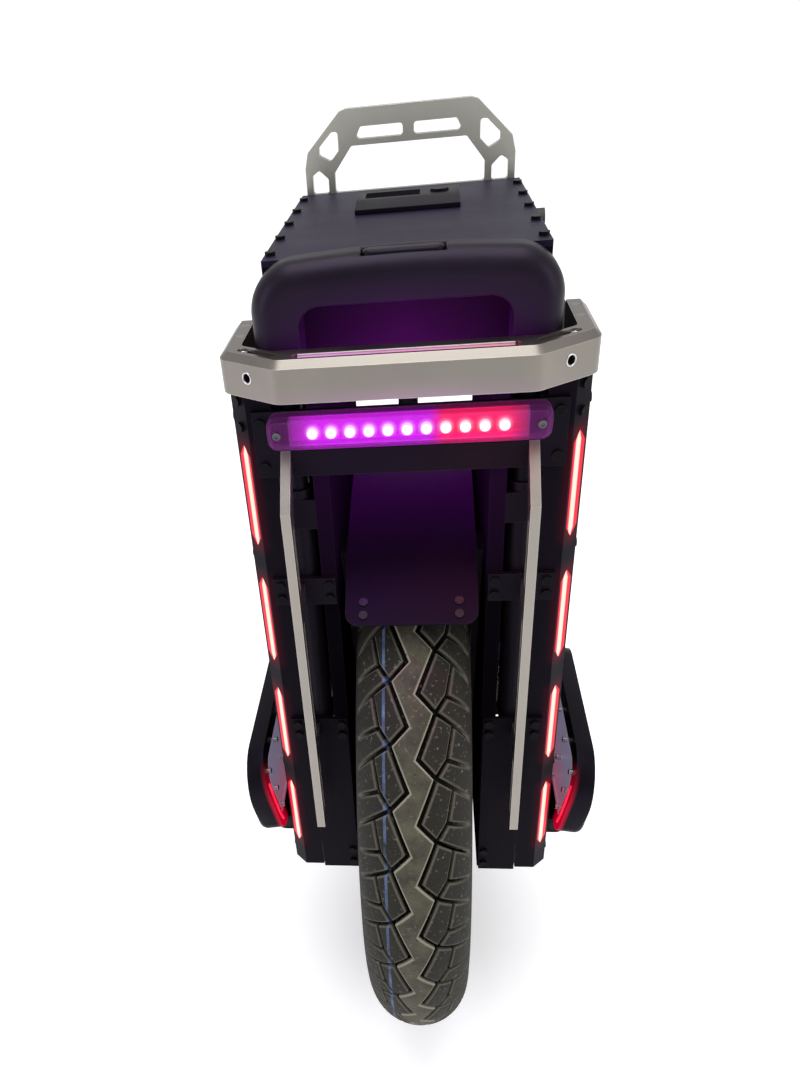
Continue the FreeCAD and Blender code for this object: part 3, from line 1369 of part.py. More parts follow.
def pedals():
    """The two folding pedals with their decks and studs."""
    corners = [("pedal_width", "-pedal_half"), ("pedal_width", "pedal_half")]
    slab = profile("XY", [
        ("pedal_inner", "-pedal_half"), corners[0], corners[1], ("pedal_inner", "pedal_half"),
    ], ("-pedal_down", "pedal_up"))
    soften(slab, "Fillet", "pedal_corner", upright_at("Z", corners))
    barrel = cylinder("Y", ("0", "0"), ("-barrel_half", "barrel_half"), "lug_radius")
    neck = block(("0", "pedal_inner + overshoot"), ("-barrel_half", "barrel_half"),
                 ("-pedal_down", "pedal_up"))
    bore = cylinder("Y", ("0", "0"), ("-lug_inner", "lug_inner"), "pin_radius + fit")
    recess = block(("deck_inner", "deck_outer"), ("-deck_half", "deck_half"),
                   ("deck_bottom", "pedal_up + overshoot"))
    deck = block(("deck_inner + deck_gap", "deck_outer - deck_gap"),
                 ("-deck_half + deck_gap", "deck_half - deck_gap"), ("deck_bottom", "pedal_up"))
    studs = []
    stud_holes = []
    for row in spread(STUD_ROWS):
        for column in spread(STUD_COLUMNS):
            spot = ("(deck_inner + deck_outer) / 2 + %g * (deck_outer - deck_inner - 2 * stud_inset)"
                    % (row / (STUD_ROWS - 1)),
                    "%g * 2 * (deck_half - stud_inset)" % (column / (STUD_COLUMNS - 1)))
            studs.append(cylinder("Z", spot, ("deck_bottom", "pedal_up + stud_height"), "stud_radius"))
            stud_holes.append(cylinder("Z", spot, ("deck_bottom - overshoot", "pedal_up + overshoot"),
                                       "stud_radius + fit"))
    frame = cut(fuse([slab, barrel, neck]), [bore, recess])
    finished = {"pedal": frame, "pedal_deck": cut(deck, stud_holes), "pedal_studs": group(studs)}
    for name, piece in finished.items():
        right = fold(piece)
        keep(right, "right_" + name)
        keep(mirror(right), "left_" + name)


wheel()
carrier(motor_core())
rear_holes, lid_holes, handle_holes, rail_holes = body_shell()
guard_bars()
lights(rear_holes)
top_box(lid_holes, handle_holes)
lift_handle(handle_holes)
rear_rail(rail_holes)
trolley_grip()
trolley_legs()
shocks()
pedal_hinges()
pedals()
doc.recompute()

faults = [item.Name for item in doc.Objects if "Invalid" in item.State or "Error" in item.State]
faults += [item.Label for item in pieces if item.Shape.isNull() or not item.Shape.isValid()]
if faults:
    raise RuntimeError("not built: " + ", ".join(faults))

os.makedirs("parts", exist_ok=True)
for item in pieces:
    item.Shape.exportStep("parts/%s.step" % item.Label)
box = Part.makeCompound([item.Shape for item in pieces]).optimalBoundingBox()
print("%d pieces, %.1f x %.1f x %.1f mm" % (len(pieces), box.XLength, box.YLength, box.ZLength))
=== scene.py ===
# %% [markdown]
# # An electric unicycle, dressed for its portrait
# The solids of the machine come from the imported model. This notebook gives them their finishes, models the
# pieces that need finer shapes than the solids have, and sets up a plain studio with the photograph's
# camera.

# %% Load the frame
import bpy
import json
import math
from mathutils import Matrix, Vector


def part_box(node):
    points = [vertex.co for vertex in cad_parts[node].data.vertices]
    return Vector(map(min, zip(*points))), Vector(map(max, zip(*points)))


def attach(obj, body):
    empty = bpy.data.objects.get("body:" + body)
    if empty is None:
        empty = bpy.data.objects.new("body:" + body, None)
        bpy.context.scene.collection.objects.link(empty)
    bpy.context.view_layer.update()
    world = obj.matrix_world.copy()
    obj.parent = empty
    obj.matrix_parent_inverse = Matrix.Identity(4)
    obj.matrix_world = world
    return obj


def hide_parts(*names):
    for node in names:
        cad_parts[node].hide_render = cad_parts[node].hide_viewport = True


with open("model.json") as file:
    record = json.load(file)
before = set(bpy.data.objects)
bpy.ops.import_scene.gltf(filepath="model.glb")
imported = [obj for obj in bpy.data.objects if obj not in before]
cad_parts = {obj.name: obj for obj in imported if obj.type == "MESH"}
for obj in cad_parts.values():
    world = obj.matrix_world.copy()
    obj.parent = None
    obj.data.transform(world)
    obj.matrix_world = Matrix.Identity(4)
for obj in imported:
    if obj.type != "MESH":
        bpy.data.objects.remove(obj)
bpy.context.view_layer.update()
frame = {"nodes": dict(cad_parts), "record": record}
nodes = frame["nodes"]
scene = bpy.context.scene

# %% [markdown]
# ## Working by hand, in code
# Operators act on whatever is selected, so each step starts by letting everything go. These few helpers do
# that, put things into the scene, start a block, pick parts of a mesh by a rule, round edges, and close a
# piece off when it is done.

# %% Helpers for modelling
MM = 0.001
CREASE = math.radians(40)


def mm(*sizes):
    """Millimetres, as metres."""
    return tuple(size * MM for size in sizes)


def let_go():
    if bpy.context.object and bpy.context.object.mode != "OBJECT":
        bpy.ops.object.mode_set(mode="OBJECT")
    bpy.ops.object.select_all(action="DESELECT")


def take(piece):
    let_go()
    piece.select_set(True)
    bpy.context.view_layer.objects.active = piece


def placed(name, data):
    """A new object in the scene."""
    thing = bpy.data.objects.new(name, data)
    scene.collection.objects.link(thing)
    return thing


def named(name):
    piece = bpy.context.object
    piece.name = name
    piece.data.name = name
    return piece


def pick(piece, rule, kind="faces"):
    """Enters edit mode with only the edges or faces selected whose centre and part obey a rule."""
    take(piece)
    mesh = piece.data
    for part in (*mesh.vertices, *mesh.edges, *mesh.polygons):
        part.select = False
    spots = [vertex.co for vertex in mesh.vertices]
    for part in {"edges": mesh.edges, "faces": mesh.polygons}[kind]:
        centre = sum((spots[corner] for corner in part.vertices), Vector()) / len(part.vertices)
        if rule(centre, part):
            part.select = True
    bpy.ops.object.mode_set(mode="EDIT")
    bpy.ops.mesh.select_mode(type={"edges": "EDGE", "faces": "FACE"}[kind])


def settle(piece):
    """Puts a finished piece's place into its mesh, so that its object sits at the origin."""
    take(piece)
    bpy.ops.object.transform_apply(location=True, rotation=True, scale=True)
    return piece


def block(name, low, high):
    """A box between two corners."""
    let_go()
    bpy.ops.mesh.primitive_cube_add(size=1, location=[(a + b) / 2 for a, b in zip(low, high)])
    piece = named(name)
    piece.scale = [b - a for a, b in zip(low, high)]
    return settle(piece)


def finish_off(piece, kind, **settings):
    """Adds a modifier and applies it."""
    take(piece)
    modifier = piece.modifiers.new(kind.title(), kind)
    for key, value in settings.items():
        setattr(modifier, key, value)
    bpy.ops.object.modifier_apply(modifier=modifier.name)


def round_off(piece, width, segments):
    """Rounds the edges that are sharper than the crease angle."""
    finish_off(piece, "BEVEL", width=width, segments=segments, angle_limit=CREASE)


def smooth(angle=CREASE):
    """Shades the piece in hand smooth, up to an angle."""
    bpy.ops.object.shade_smooth_by_angle(angle=angle)


def sink(margin, move):
    """Insets the picked face and moves its inner part along Z."""
    bpy.ops.mesh.inset(thickness=margin)
    bpy.ops.mesh.extrude_region_move(TRANSFORM_OT_translate={"value": (0, 0, move)})


let_go()
print("helpers for modelling ready")

# %% [markdown]
# ## Camera
# The picture was taken by a person who stands behind the machine and looks down at it. The camera's place,
# its three turns and its lens were fitted to edges in the picture. The picture was cropped, so the lens axis
# isn't in the middle of the frame, which the two shift values express.

# %% The camera
IMAGE_WIDTH, IMAGE_HEIGHT = 800, 1067
FOCAL_PIXELS = 880.8
AXIS_X, AXIS_Y = 309.7, 679.0
CAMERA_PLACE = Vector((0.01247, -0.62576, 0.79161))
CAMERA_TURN, CAMERA_DIP, CAMERA_ROLL = 0.171, 0.640, -0.112

camera_data = bpy.data.cameras.new("portrait_camera")
camera = placed("portrait_camera", camera_data)
camera_data.sensor_width = 36.0
camera_data.lens = FOCAL_PIXELS * camera_data.sensor_width / IMAGE_HEIGHT
camera_data.shift_x = (IMAGE_WIDTH / 2 - AXIS_X) / IMAGE_HEIGHT
camera_data.shift_y = (AXIS_Y - IMAGE_HEIGHT / 2) / IMAGE_HEIGHT
camera_data.clip_start = 0.01
look = (Matrix.Rotation(CAMERA_TURN, 4, "Z") @ Matrix.Rotation(math.pi / 2 - CAMERA_DIP, 4, "X")
        @ Matrix.Rotation(CAMERA_ROLL, 4, "Z"))
camera.matrix_world = Matrix.Translation(CAMERA_PLACE) @ look
scene.camera = camera
print("lens", round(camera_data.lens, 2), "mm")

# %% [markdown]
# ## Sums on sockets
# A finish is worked out by nodes, and a node's input is either a number or a link from another node. These
# helpers make the few kinds that all finishes share: a sum, a ramp from one value to another, a noise, and a
# blend of two colours. A socket knows the tree of nodes that it is in, so a new node goes there too.

# %% Helpers for nodes


def fill(node, values):
    """Sets inputs of a node to constants."""
    for label, value in values.items():
        node.inputs[label].default_value = value


def link(start, end):
    """Joins an output to an input of the same tree."""
    start.id_data.links.new(start, end)


def sum_of(operation, first, second=None, third=None):
    """A math node. Its first input is a socket, the others are numbers or sockets."""
    node = first.id_data.nodes.new("ShaderNodeMath")
    node.operation = operation
    for socket, value in zip(node.inputs, (first, second, third)):
        if isinstance(value, (int, float)):
            socket.default_value = value
        elif value is not None:
            link(value, socket)
    return node.outputs["Value"]


def product(first, second):
    return sum_of("MULTIPLY", first, second)


def size_of(value):
    return sum_of("ABSOLUTE", value)


def gap(value, start):
    return sum_of("SUBTRACT", value, start)


def ramp(value, start, end, low=0.0, high=1.0):
    """Runs from low to high while a value runs from start to end, and stays level beyond both."""
    remap = value.id_data.nodes.new("ShaderNodeMapRange")
    fill(remap, {"From Min": start, "From Max": end, "To Min": low, "To Max": high})
    link(value, remap.inputs["Value"])
    return remap.outputs["Result"]


def length_of(*parts):
    """The length of a line from its parts along the axes."""
    total = 0.0
    for part in parts:
        total = sum_of("ADD", sum_of("POWER", part, 2), total)
    return sum_of("SQRT", total)


def noise_at(place, scale):
    noise = place.id_data.nodes.new("ShaderNodeTexNoise")
    noise.inputs["Scale"].default_value = scale
    link(place, noise.inputs["Vector"])
    return noise.outputs["Fac"]


def blend_colours(first, second, mask):
    mix = mask.id_data.nodes.new("ShaderNodeMix")
    mix.data_type = "RGBA"
    link(mask, mix.inputs["Factor"])
    for socket, colour in ((mix.inputs[6], first), (mix.inputs[7], second)):
        if isinstance(colour, tuple):
            socket.default_value = (*colour, 1)
        else:
            link(colour, socket)
    return mix.outputs[2]


print("helpers for nodes ready")

# %% [markdown]
# ## Studio
# A wide pale floor and a pale surrounding. The floor shines a little by itself, more so far away, and the
# surrounding looks brighter to the camera than it lights, so that no line shows where the two meet.

# %% Floor and surroundings
FLOOR_SIZE = 80
LIFT_REACH, LIFT_LIGHT = (0.6, 3.0), (0.30, 0.46)
SKY_LIGHT, SKY_SEEN = 0.70, 1.06

scene.view_settings.view_transform = "Standard"
bpy.ops.mesh.primitive_plane_add(size=FLOOR_SIZE, location=(0, 0, 0))
floor = named("studio_floor")
floor_paint = bpy.data.materials.new("studio_floor")
floor_paint.use_nodes = True
tree = floor_paint.node_tree
shader = tree.nodes["Principled BSDF"]
fill(shader, {"Base Color": (0.93, 0.93, 0.935, 1), "Roughness": 0.85, "Specular IOR Level": 0.0,
              "Emission Strength": 1.0})
far_off = tree.nodes.new("ShaderNodeVectorMath")
far_off.operation = "LENGTH"
link(tree.nodes.new("ShaderNodeTexCoord").outputs["Object"], far_off.inputs[0])
lift = ramp(far_off.outputs["Value"], *LIFT_REACH, *LIFT_LIGHT)
link(lift, shader.inputs["Emission Color"])
floor.data.materials.append(floor_paint)

world = bpy.data.worlds.new("studio")
world.use_nodes = True
tree = world.node_tree
tree.nodes["Background"].inputs["Color"].default_value = (0.98, 0.975, 1.0, 1)
seen = tree.nodes.new("ShaderNodeLightPath").outputs["Is Camera Ray"]
link(ramp(seen, 0, 1, SKY_LIGHT, SKY_SEEN), tree.nodes["Background"].inputs["Strength"])
scene.world = world
print("floor", FLOOR_SIZE, "m wide")

# %% [markdown]
# A black object shows its shape by what it mirrors, so the lamps are big soft sheets: one overhead and one
# on each side. The left one is a little violet, like the sheen of the blacks in the picture.

# %% Three lamps


def lamp(name, place, aim, width, height, power, colour=(1, 1, 1)):
    """A sheet of light that looks from a place to an aim."""
    data = bpy.data.lights.new(name, "AREA")
    data.shape = "RECTANGLE"
    data.size, data.size_y = width, height
    data.energy = power
    data.color = colour
    light = placed(name, data)
    light.location = place
    light.rotation_mode = "QUATERNION"
    light.rotation_quaternion = (Vector(aim) - Vector(place)).to_track_quat("-Z", "Y")
    return light


lamp("overhead_sheet", (0.0, -0.1, 2.6), (0, 0, 0.3), 1.7, 1.7, 42)
lamp("left_sheet", (-2.0, -1.0, 1.2), (0, 0, 0.4), 0.7, 1.6, 12, (0.90, 0.84, 1.0))
lamp("right_sheet", (2.0, -0.8, 1.3), (0, 0, 0.4), 0.7, 1.6, 12)

# %% [markdown]
# ## Shared surface effects
# Two node groups serve nearly every finish. *Fine grain* mixes a tiny noise, for the bump of a moulded or
# blasted skin, with a broad one that varies the colour and shine. The other group compares the true normal
# with one rounded over the nearest edge, and gives a mask where a coat is thin and light catches: the edge
# tone laid there is partly wear and partly a painted highlight.

# %% The two node groups
NOISE_RANGE = 0.3, 0.7
EDGE_RANGE = 0.995, 0.86


def group_of(name, takes, gives):
    """A node group with the sockets that it takes and the values that it gives."""
    tree = bpy.data.node_groups.new(name, "ShaderNodeTree")
    for label, kind in takes:
        tree.interface.new_socket(name=label, in_out="INPUT", socket_type="NodeSocket" + kind)
    for label in gives:
        tree.interface.new_socket(name=label, in_out="OUTPUT", socket_type="NodeSocketFloat")
    return tree, tree.nodes.new("NodeGroupInput").outputs, tree.nodes.new("NodeGroupOutput").inputs


fine_grain, grain_in, grain_out = group_of("Fine grain", [
    ("Place", "Vector"), ("Grain scale", "Float"), ("Patch scale", "Float")], ["Height", "Patch"])
for label, detail, scale in (("Height", 4.0, "Grain scale"), ("Patch", 6.0, "Patch scale")):
    noise = fine_grain.nodes.new("ShaderNodeTexNoise")
    fill(noise, {"Detail": detail, "Roughness": 0.62})
    link(grain_in["Place"], noise.inputs["Vector"])
    link(grain_in[scale], noise.inputs["Scale"])
    link(ramp(noise.outputs["Fac"], *NOISE_RANGE), grain_out[label])

worn_lit_edges, edge_in, edge_out = group_of("Worn lit edges", [("Radius", "Float"), ("Place", "Vector")], ["Edge"])
rounded = worn_lit_edges.nodes.new("ShaderNodeBevel")
rounded.samples = 6
link(edge_in["Radius"], rounded.inputs["Radius"])
true_normal = worn_lit_edges.nodes.new("ShaderNodeNewGeometry")
alike = worn_lit_edges.nodes.new("ShaderNodeVectorMath")
alike.operation = "DOT_PRODUCT"
link(rounded.outputs["Normal"], alike.inputs[0])
link(true_normal.outputs["Normal"], alike.inputs[1])
turned = ramp(alike.outputs["Value"], *EDGE_RANGE)
rubbed = noise_at(edge_in["Place"], scale=160.0)
link(product(turned, rubbed), edge_out["Edge"])
print("groups:", fine_grain.name, "and", worn_lit_edges.name)

# %% [markdown]
# ## Finishes
# Each finish is a principled shader whose colour, roughness and bump come from the groups, with values of
# its own. One recipe builds them all: two tones that drift into each other, an edge tone, and a grain. A
# finish may also shine by itself, in a colour that depends on the place.

# %% The recipe
EDGE_RADIUS = 0.7 * MM


def finish(name, tone, shade, edge, rough, metal=0.0, grain=900.0, patch=14.0, bump=0.15, depth=0.2 * MM,
           specular=0.5, sheen=(1, 1, 1)):
    """A material from a light tone, a darker shade, an edge tone and a range of roughness."""
    material = bpy.data.materials.new(name)
    material.use_nodes = True
    tree = material.node_tree
    shader = tree.nodes["Principled BSDF"]
    fill(shader, {"Metallic": metal, "Specular IOR Level": specular, "Specular Tint": (*sheen, 1)})
    place = tree.nodes.new("ShaderNodeTexCoord").outputs["Object"]
    grains = tree.nodes.new("ShaderNodeGroup")
    grains.node_tree = fine_grain
    fill(grains, {"Grain scale": grain, "Patch scale": patch})
    link(place, grains.inputs["Place"])
    edges = tree.nodes.new("ShaderNodeGroup")
    edges.node_tree = worn_lit_edges
    edges.inputs["Radius"].default_value = EDGE_RADIUS
    link(place, edges.inputs["Place"])
    drift = blend_colours(shade, tone, grains.outputs["Patch"])
    # The edge tone is partly wear and partly a painted highlight where edges would catch light.
    colour = blend_colours(drift, edge, edges.outputs["Edge"])
    link(colour, shader.inputs["Base Color"])
    link(ramp(grains.outputs["Patch"], 0, 1, *rough), shader.inputs["Roughness"])
    relief = tree.nodes.new("ShaderNodeBump")
    fill(relief, {"Strength": bump, "Distance": depth})
    link(grains.outputs["Height"], relief.inputs["Height"])
    link(relief.outputs["Normal"], shader.inputs["Normal"])
    return material


def repaint(node, material):
    """Gives a solid another finish."""
    nodes[node].data.materials[0] = material


def place_of(material):
    """The place of a point, as a socket."""
    return material.node_tree.nodes["Texture Coordinate"].outputs["Object"]


def place_in(material):
    """The three coordinates of a point, as sockets."""
    split = material.node_tree.nodes.new("ShaderNodeSeparateXYZ")
    link(place_of(material), split.inputs["Vector"])
    return [split.outputs[axis] for axis in "XYZ"]


def glow(material, dark, light, mask, strength=1.0):
    """Lets a finish shine in a colour that a mask blends from a dark one to a light one."""
    tree = material.node_tree
    shader = tree.nodes["Principled BSDF"]
    link(blend_colours(dark, light, mask), shader.inputs["Emission Color"])
    shader.inputs["Emission Strength"].default_value = strength


print("recipe ready")

# %% [markdown]
# The blacks differ little in colour and more in how they shine: a powder coat is matte, a moulded plastic
# satin. Most reflect a violet tint, a painted reflection of violet light, and their dark tones lean violet
# for the same painted light. Covers of lights are dark by themselves, so that they keep their colour when
# they shine. Values that several finishes share are written once.

# %% The plain finishes
# Painted reflection: the violet sheen tints reflections for violet light, and the dark tones lean violet too.
PAINTED_VIOLET_SHEEN, UNLIT = (0.72, 0.55, 0.92), (0.0, 0.0, 0.0)
DEEP = dict(tone=(0.0042, 0.0030, 0.0050), shade=(0.0028, 0.0020, 0.0034), grain=1900.0)
MATTE = dict(DEEP, edge=(0.017, 0.015, 0.020), rough=(0.42, 0.56), specular=0.06, sheen=PAINTED_VIOLET_SHEEN)
COATED = dict(tone=(0.0050, 0.0040, 0.0058), shade=(0.0032, 0.0025, 0.0038), edge=(0.028, 0.026, 0.031),
              rough=(0.36, 0.50), grain=1500.0, specular=0.09, sheen=PAINTED_VIOLET_SHEEN)
SATIN = dict(tone=(0.0046, 0.0038, 0.0054), shade=(0.0030, 0.0025, 0.0036), edge=(0.014, 0.013, 0.016),
             rough=(0.34, 0.44), grain=2400.0, bump=0.1, specular=0.14, sheen=PAINTED_VIOLET_SHEEN)
BLASTED = dict(rough=(0.30, 0.40), metal=1.0, grain=2600.0, bump=0.12, depth=0.1 * MM)
COVER = dict(rough=(0.2, 0.3), specular=0.15)
RED_COVER = dict(COVER, tone=(0.10, 0.002, 0.004), shade=(0.07, 0.001, 0.003), edge=(0.16, 0.01, 0.01))
FINISHES = {}
for name, *tones, more in (
    ("cast_alloy", (0.30, 0.31, 0.33), (0.20, 0.21, 0.23), (0.62, 0.62, 0.64), (0.34, 0.5), dict(metal=1.0)),
    ("silver_alloy", (0.300, 0.278, 0.245), (0.25, 0.233, 0.209), (0.66, 0.62, 0.55), BLASTED),
    ("black_metal", COATED),
    ("zinc_steel", (0.66, 0.66, 0.67), (0.48, 0.48, 0.50), (0.85, 0.85, 0.86), (0.22, 0.36), dict(metal=1.0)),
    ("black_steel", (0.0065, 0.006, 0.007), (0.004, 0.004, 0.0045), (0.045, 0.045, 0.048), (0.30, 0.42),
     dict(specular=0.12)),
    ("dark_steel", (0.11, 0.11, 0.12), (0.07, 0.07, 0.08), (0.3, 0.3, 0.3), (0.3, 0.5), dict(metal=0.8)),
    ("copper_wire", (0.62, 0.27, 0.11), (0.45, 0.17, 0.07), (0.8, 0.45, 0.25), (0.25, 0.4), dict(metal=1.0)),
    ("matte_black", MATTE),
    ("satin_black", SATIN),
    ("battery_wrap", (0.05, 0.09, 0.28), (0.03, 0.06, 0.2), (0.1, 0.15, 0.4), (0.2, 0.35), {}),
    ("circuit_board", (0.03, 0.12, 0.05), (0.02, 0.08, 0.035), (0.5, 0.4, 0.15), (0.3, 0.45), {}),
    ("soft_rubber", (0.022, 0.022, 0.022), (0.014, 0.014, 0.014), (0.05, 0.05, 0.05), (0.6, 0.75),
     dict(grain=1200.0)),
    ("grey_deck", (0.66, 0.63, 0.71), (0.54, 0.52, 0.59), (0.8, 0.78, 0.85), (0.4, 0.6),
     dict(grain=1400.0, bump=0.4)),
    ("dark_window", (0.008, 0.008, 0.010), (0.005, 0.005, 0.006), (0.02, 0.02, 0.02), (0.30, 0.40),
     dict(bump=0.02, specular=0.0)),
    ("red_light", RED_COVER),
    ("magenta_light", (0.12, 0.01, 0.10), (0.09, 0.008, 0.08), (0.2, 0.03, 0.18), COVER),
    ("white_lamp", (0.9, 0.92, 0.95), (0.8, 0.82, 0.86), (1, 1, 1), (0.1, 0.2), {}),
    ("clear_lens", (0.9, 0.9, 0.95), (0.85, 0.85, 0.9), (1, 1, 1), (0.08, 0.15), dict(bump=0.03)),
):
    FINISHES[name] = finish(name, *tones, **more)
fill(FINISHES["clear_lens"].node_tree.nodes["Principled BSDF"], {"Transmission Weight": 0.9, "IOR": 1.45})
print(len(FINISHES), "plain finishes")

# %% [markdown]
# ## Tyre rubber
# A used road tyre is not black: dust lies on the middle rib, and the blocks beside it are darker, partly for
# less dust and partly as painted shade. Their lips get a painted highlight and the grooves painted shade.
# The mesh keeps two values for that, how deep a point lies in a groove and whether it is on the rib. A thin
# painted guide line from the factory runs round one side of the tread, half rubbed off, and small grit and
# pits cover all of it.

# %% The rubber
STRIPE_MIDDLE, STRIPE_HALF = mm(-19.8, 1.1)
STRIPE_GONE, STRIPE_WHOLE = -0.35, 1.3
UV_SPAN = 0.4
BLOCK_SHARE = 0.86
LIP_DEPTH, LIP_ON_BLOCK, LIP_ON_RIB = 1 / 9, 0.25, 0.80
GROOVE_SHADE_RANGE = 0.5 / 2.6, 1.5 / 2.6
GRIT_RANGE, GRIT_SHARE = (4.4 / 7, 5.4 / 7), 0.6
PIT_RANGE, PIT_SHARE = (3.1 / 9, 2.1 / 9), 0.8

rubber = finish("tyre", (0.086, 0.083, 0.057), (0.034, 0.033, 0.025), (0.16, 0.155, 0.12), (0.62, 0.78),
                grain=700.0, patch=60.0, bump=0.45, depth=0.4 * MM, specular=0.12)
tree = rubber.node_tree
shader = tree.nodes["Principled BSDF"]
kept = {}
for label in ("groove", "rib"):
    reader = tree.nodes.new("ShaderNodeAttribute")
    reader.attribute_name = label
    kept[label] = reader.outputs["Fac"]
sheet = tree.nodes.new("ShaderNodeUVMap")
sheet.uv_map = "sheet"
apart = tree.nodes.new("ShaderNodeSeparateXYZ")
link(sheet.outputs["UV"], apart.inputs["Vector"])
on_stripe = sum_of("COMPARE", apart.outputs["Y"], 0.5 + STRIPE_MIDDLE / UV_SPAN, STRIPE_HALF / UV_SPAN)
rub = ramp(noise_at(place_of(rubber), scale=90.0), 0, 1, STRIPE_GONE, STRIPE_WHOLE)
specks = noise_at(place_of(rubber), scale=420.0)
lip_highlight_mask = ramp(kept["groove"], 0, LIP_DEPTH)
lip_highlight_share = ramp(kept["rib"], 0, 1, LIP_ON_BLOCK, LIP_ON_RIB)
skin = shader.inputs["Base Color"].links[0].from_socket
# In turn: darker blocks (less dust, partly painted shade), painted highlight on the lips, painted shade in
# the grooves, the stripe, grit and pits.
for colour, mask in (((0.011, 0.0105, 0.009), ramp(kept["rib"], 1, 0, 0.0, BLOCK_SHARE)),
                     ((0.29, 0.275, 0.21), product(lip_highlight_mask, lip_highlight_share)),
                     ((0.006, 0.006, 0.005), ramp(kept["groove"], *GROOVE_SHADE_RANGE)),
                     ((0.10, 0.16, 0.30), ramp(product(on_stripe, rub), 0, 1)),
                     ((0.20, 0.195, 0.15), ramp(specks, *GRIT_RANGE, 0.0, GRIT_SHARE)),
                     ((0.012, 0.012, 0.010), ramp(specks, *PIT_RANGE, 0.0, PIT_SHARE))):
    skin = blend_colours(skin, colour, mask)
link(skin, shader.inputs["Base Color"])
FINISHES["tyre"] = rubber
for entry in frame["record"]["subparts"]:
    mesh = nodes[entry["node"]].data
    mesh.materials.clear()
    mesh.materials.append(FINISHES[entry["material_slot"]])
print(len(FINISHES), "finishes on", len(nodes), "solids")

# %% [markdown]
# ## Tread
# The tread repeats 36 times round the wheel. One pitch is drawn as flat blocks between grooves: a zigzag rib
# in the middle, three blocks on each side, the right side half a pitch behind the left. Each block is a
# stack of rings: groove floor, wall, and a small round at the top. Drawing it flat keeps the numbers those
# of a ruler laid on the tyre, in millimetres; the sheet is wrapped round the wheel afterwards.

# %% One pitch, flat
PITCHES = 36
tyre_low, tyre_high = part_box("tyre")
TYRE_RADIUS = (tyre_high[2] - tyre_low[2]) / 2
TYRE_HALF = (tyre_high[0] - tyre_low[0]) / 2
AXLE_HEIGHT = (tyre_high[2] + tyre_low[2]) / 2
PITCH = 2 * math.pi * TYRE_RADIUS / PITCHES / MM
NODE, PEAK, KNEE = (-16.1, 0.0), (-3.9, -12.7), (-24.7, -12.0)
LOW_END, HIGH_END, BRANCH = (-52.0, 19.7), (-52.0, -3.6), (-30.0, 7.6)
RIB_CUT, RIB_LEFT, RIB_RIGHT = -6.0, -10.3, 9.9
GROOVE_DEPTH, FULL_DEPTH_TO, TREAD_EDGE = 6.0, 43.0, 52.0
RINGS = ((0.0, 1.0), (1.0, 1.0), (1.75, 0.16), (3.3, 0.0))
THIN = 0.85
IN_LINE, WELD = 1e-6, 0.01


def along(point, pitches):
    return (point[0], point[1] + pitches * PITCH)


def mirrored(point):
    return (-point[0], point[1] + PITCH / 2)


blocks = [
    ([along(NODE, -1), PEAK, NODE, KNEE, along(BRANCH, -1)], [1, 1, 1, THIN, 1]),
    ([along(BRANCH, -1), KNEE, HIGH_END, along(LOW_END, -1)], [THIN, 1, 0, 1]),
    ([KNEE, NODE, LOW_END, HIGH_END], [1, 1, 0, 1]),
]
blocks += [([mirrored(point) for point in reversed(outline)], widths[-2::-1] + widths[-1:])
           for outline, widths in blocks]
blocks.append(([(RIB_LEFT, RIB_CUT), (RIB_RIGHT, RIB_CUT), mirrored(PEAK), mirrored(NODE),
                (RIB_RIGHT, RIB_CUT + PITCH), (RIB_LEFT, RIB_CUT + PITCH), along(PEAK, 1), NODE],
               [0, 1, 1, 1, 0, 1, 1, 1]))


def drawn_in(outline, distances):
    """An outline whose edges have moved inwards, each by its own distance."""
    moved = []
    for here, corner in enumerate(outline):
        point = Vector(corner)
        before = (point - Vector(outline[here - 1])).normalized()
        after = (Vector(outline[(here + 1) % len(outline)]) - point).normalized()
        inward = [Vector((-edge.y, edge.x)) for edge in (before, after)]
        reach = [distances[here - 1], distances[here]]
        det = inward[0].x * inward[1].y - inward[0].y * inward[1].x
        if abs(det) < IN_LINE:
            moved.append(point + inward[1] * reach[1])
            continue
        shift = Vector(((reach[0] * inward[1].y - reach[1] * inward[0].y) / det,
                        (inward[0].x * reach[1] - inward[1].x * reach[0]) / det))
        moved.append(point + shift)
    return moved


def taper(across):
    """The share of the full depth that a groove has at a distance from the crown."""
    return min(1.0, max(0.0, (TREAD_EDGE - abs(across)) / (TREAD_EDGE - FULL_DEPTH_TO)))


spots, faces, in_rib = [], [], []
for outline, widths in blocks:
    count = len(outline)
    first = len(spots)
    for reach, depth in RINGS:
        ring = drawn_in(outline, [reach * width for width in widths])
        spots += [(spot.x, spot.y, -depth * GROOVE_DEPTH * taper(spot.x)) for spot in ring]
        in_rib += [float(outline is blocks[-1][0])] * count
    for level in range(len(RINGS) - 1):
        for edge, width in enumerate(widths):
            if width:
                base, after = first + level * count, (edge + 1) % count
                faces.append((base + edge, base + after, base + count + after, base + count + edge))
    faces.append(tuple(range(first + (len(RINGS) - 1) * count, first + len(RINGS) * count)))
sheet_mesh = bpy.data.meshes.new("tyre_tread")
sheet_mesh.from_pydata(spots, [], faces)
sheet_mesh.attributes.new("rib", "FLOAT", "POINT").data.foreach_set("value", in_rib)
tread = placed("tyre_tread", sheet_mesh)
take(tread)
bpy.ops.object.mode_set(mode="EDIT")
bpy.ops.mesh.select_all(action="SELECT")
bpy.ops.mesh.remove_doubles(threshold=WELD)
print("one pitch:", len(blocks), "blocks,", len(tread.data.vertices), "points")

# %% [markdown]
# A flat face stays flat when it is wrapped, so the sheet is first cut into narrow strips both ways. Then its
# two long edges are pulled out, step by step, into shoulders, side walls and beads.

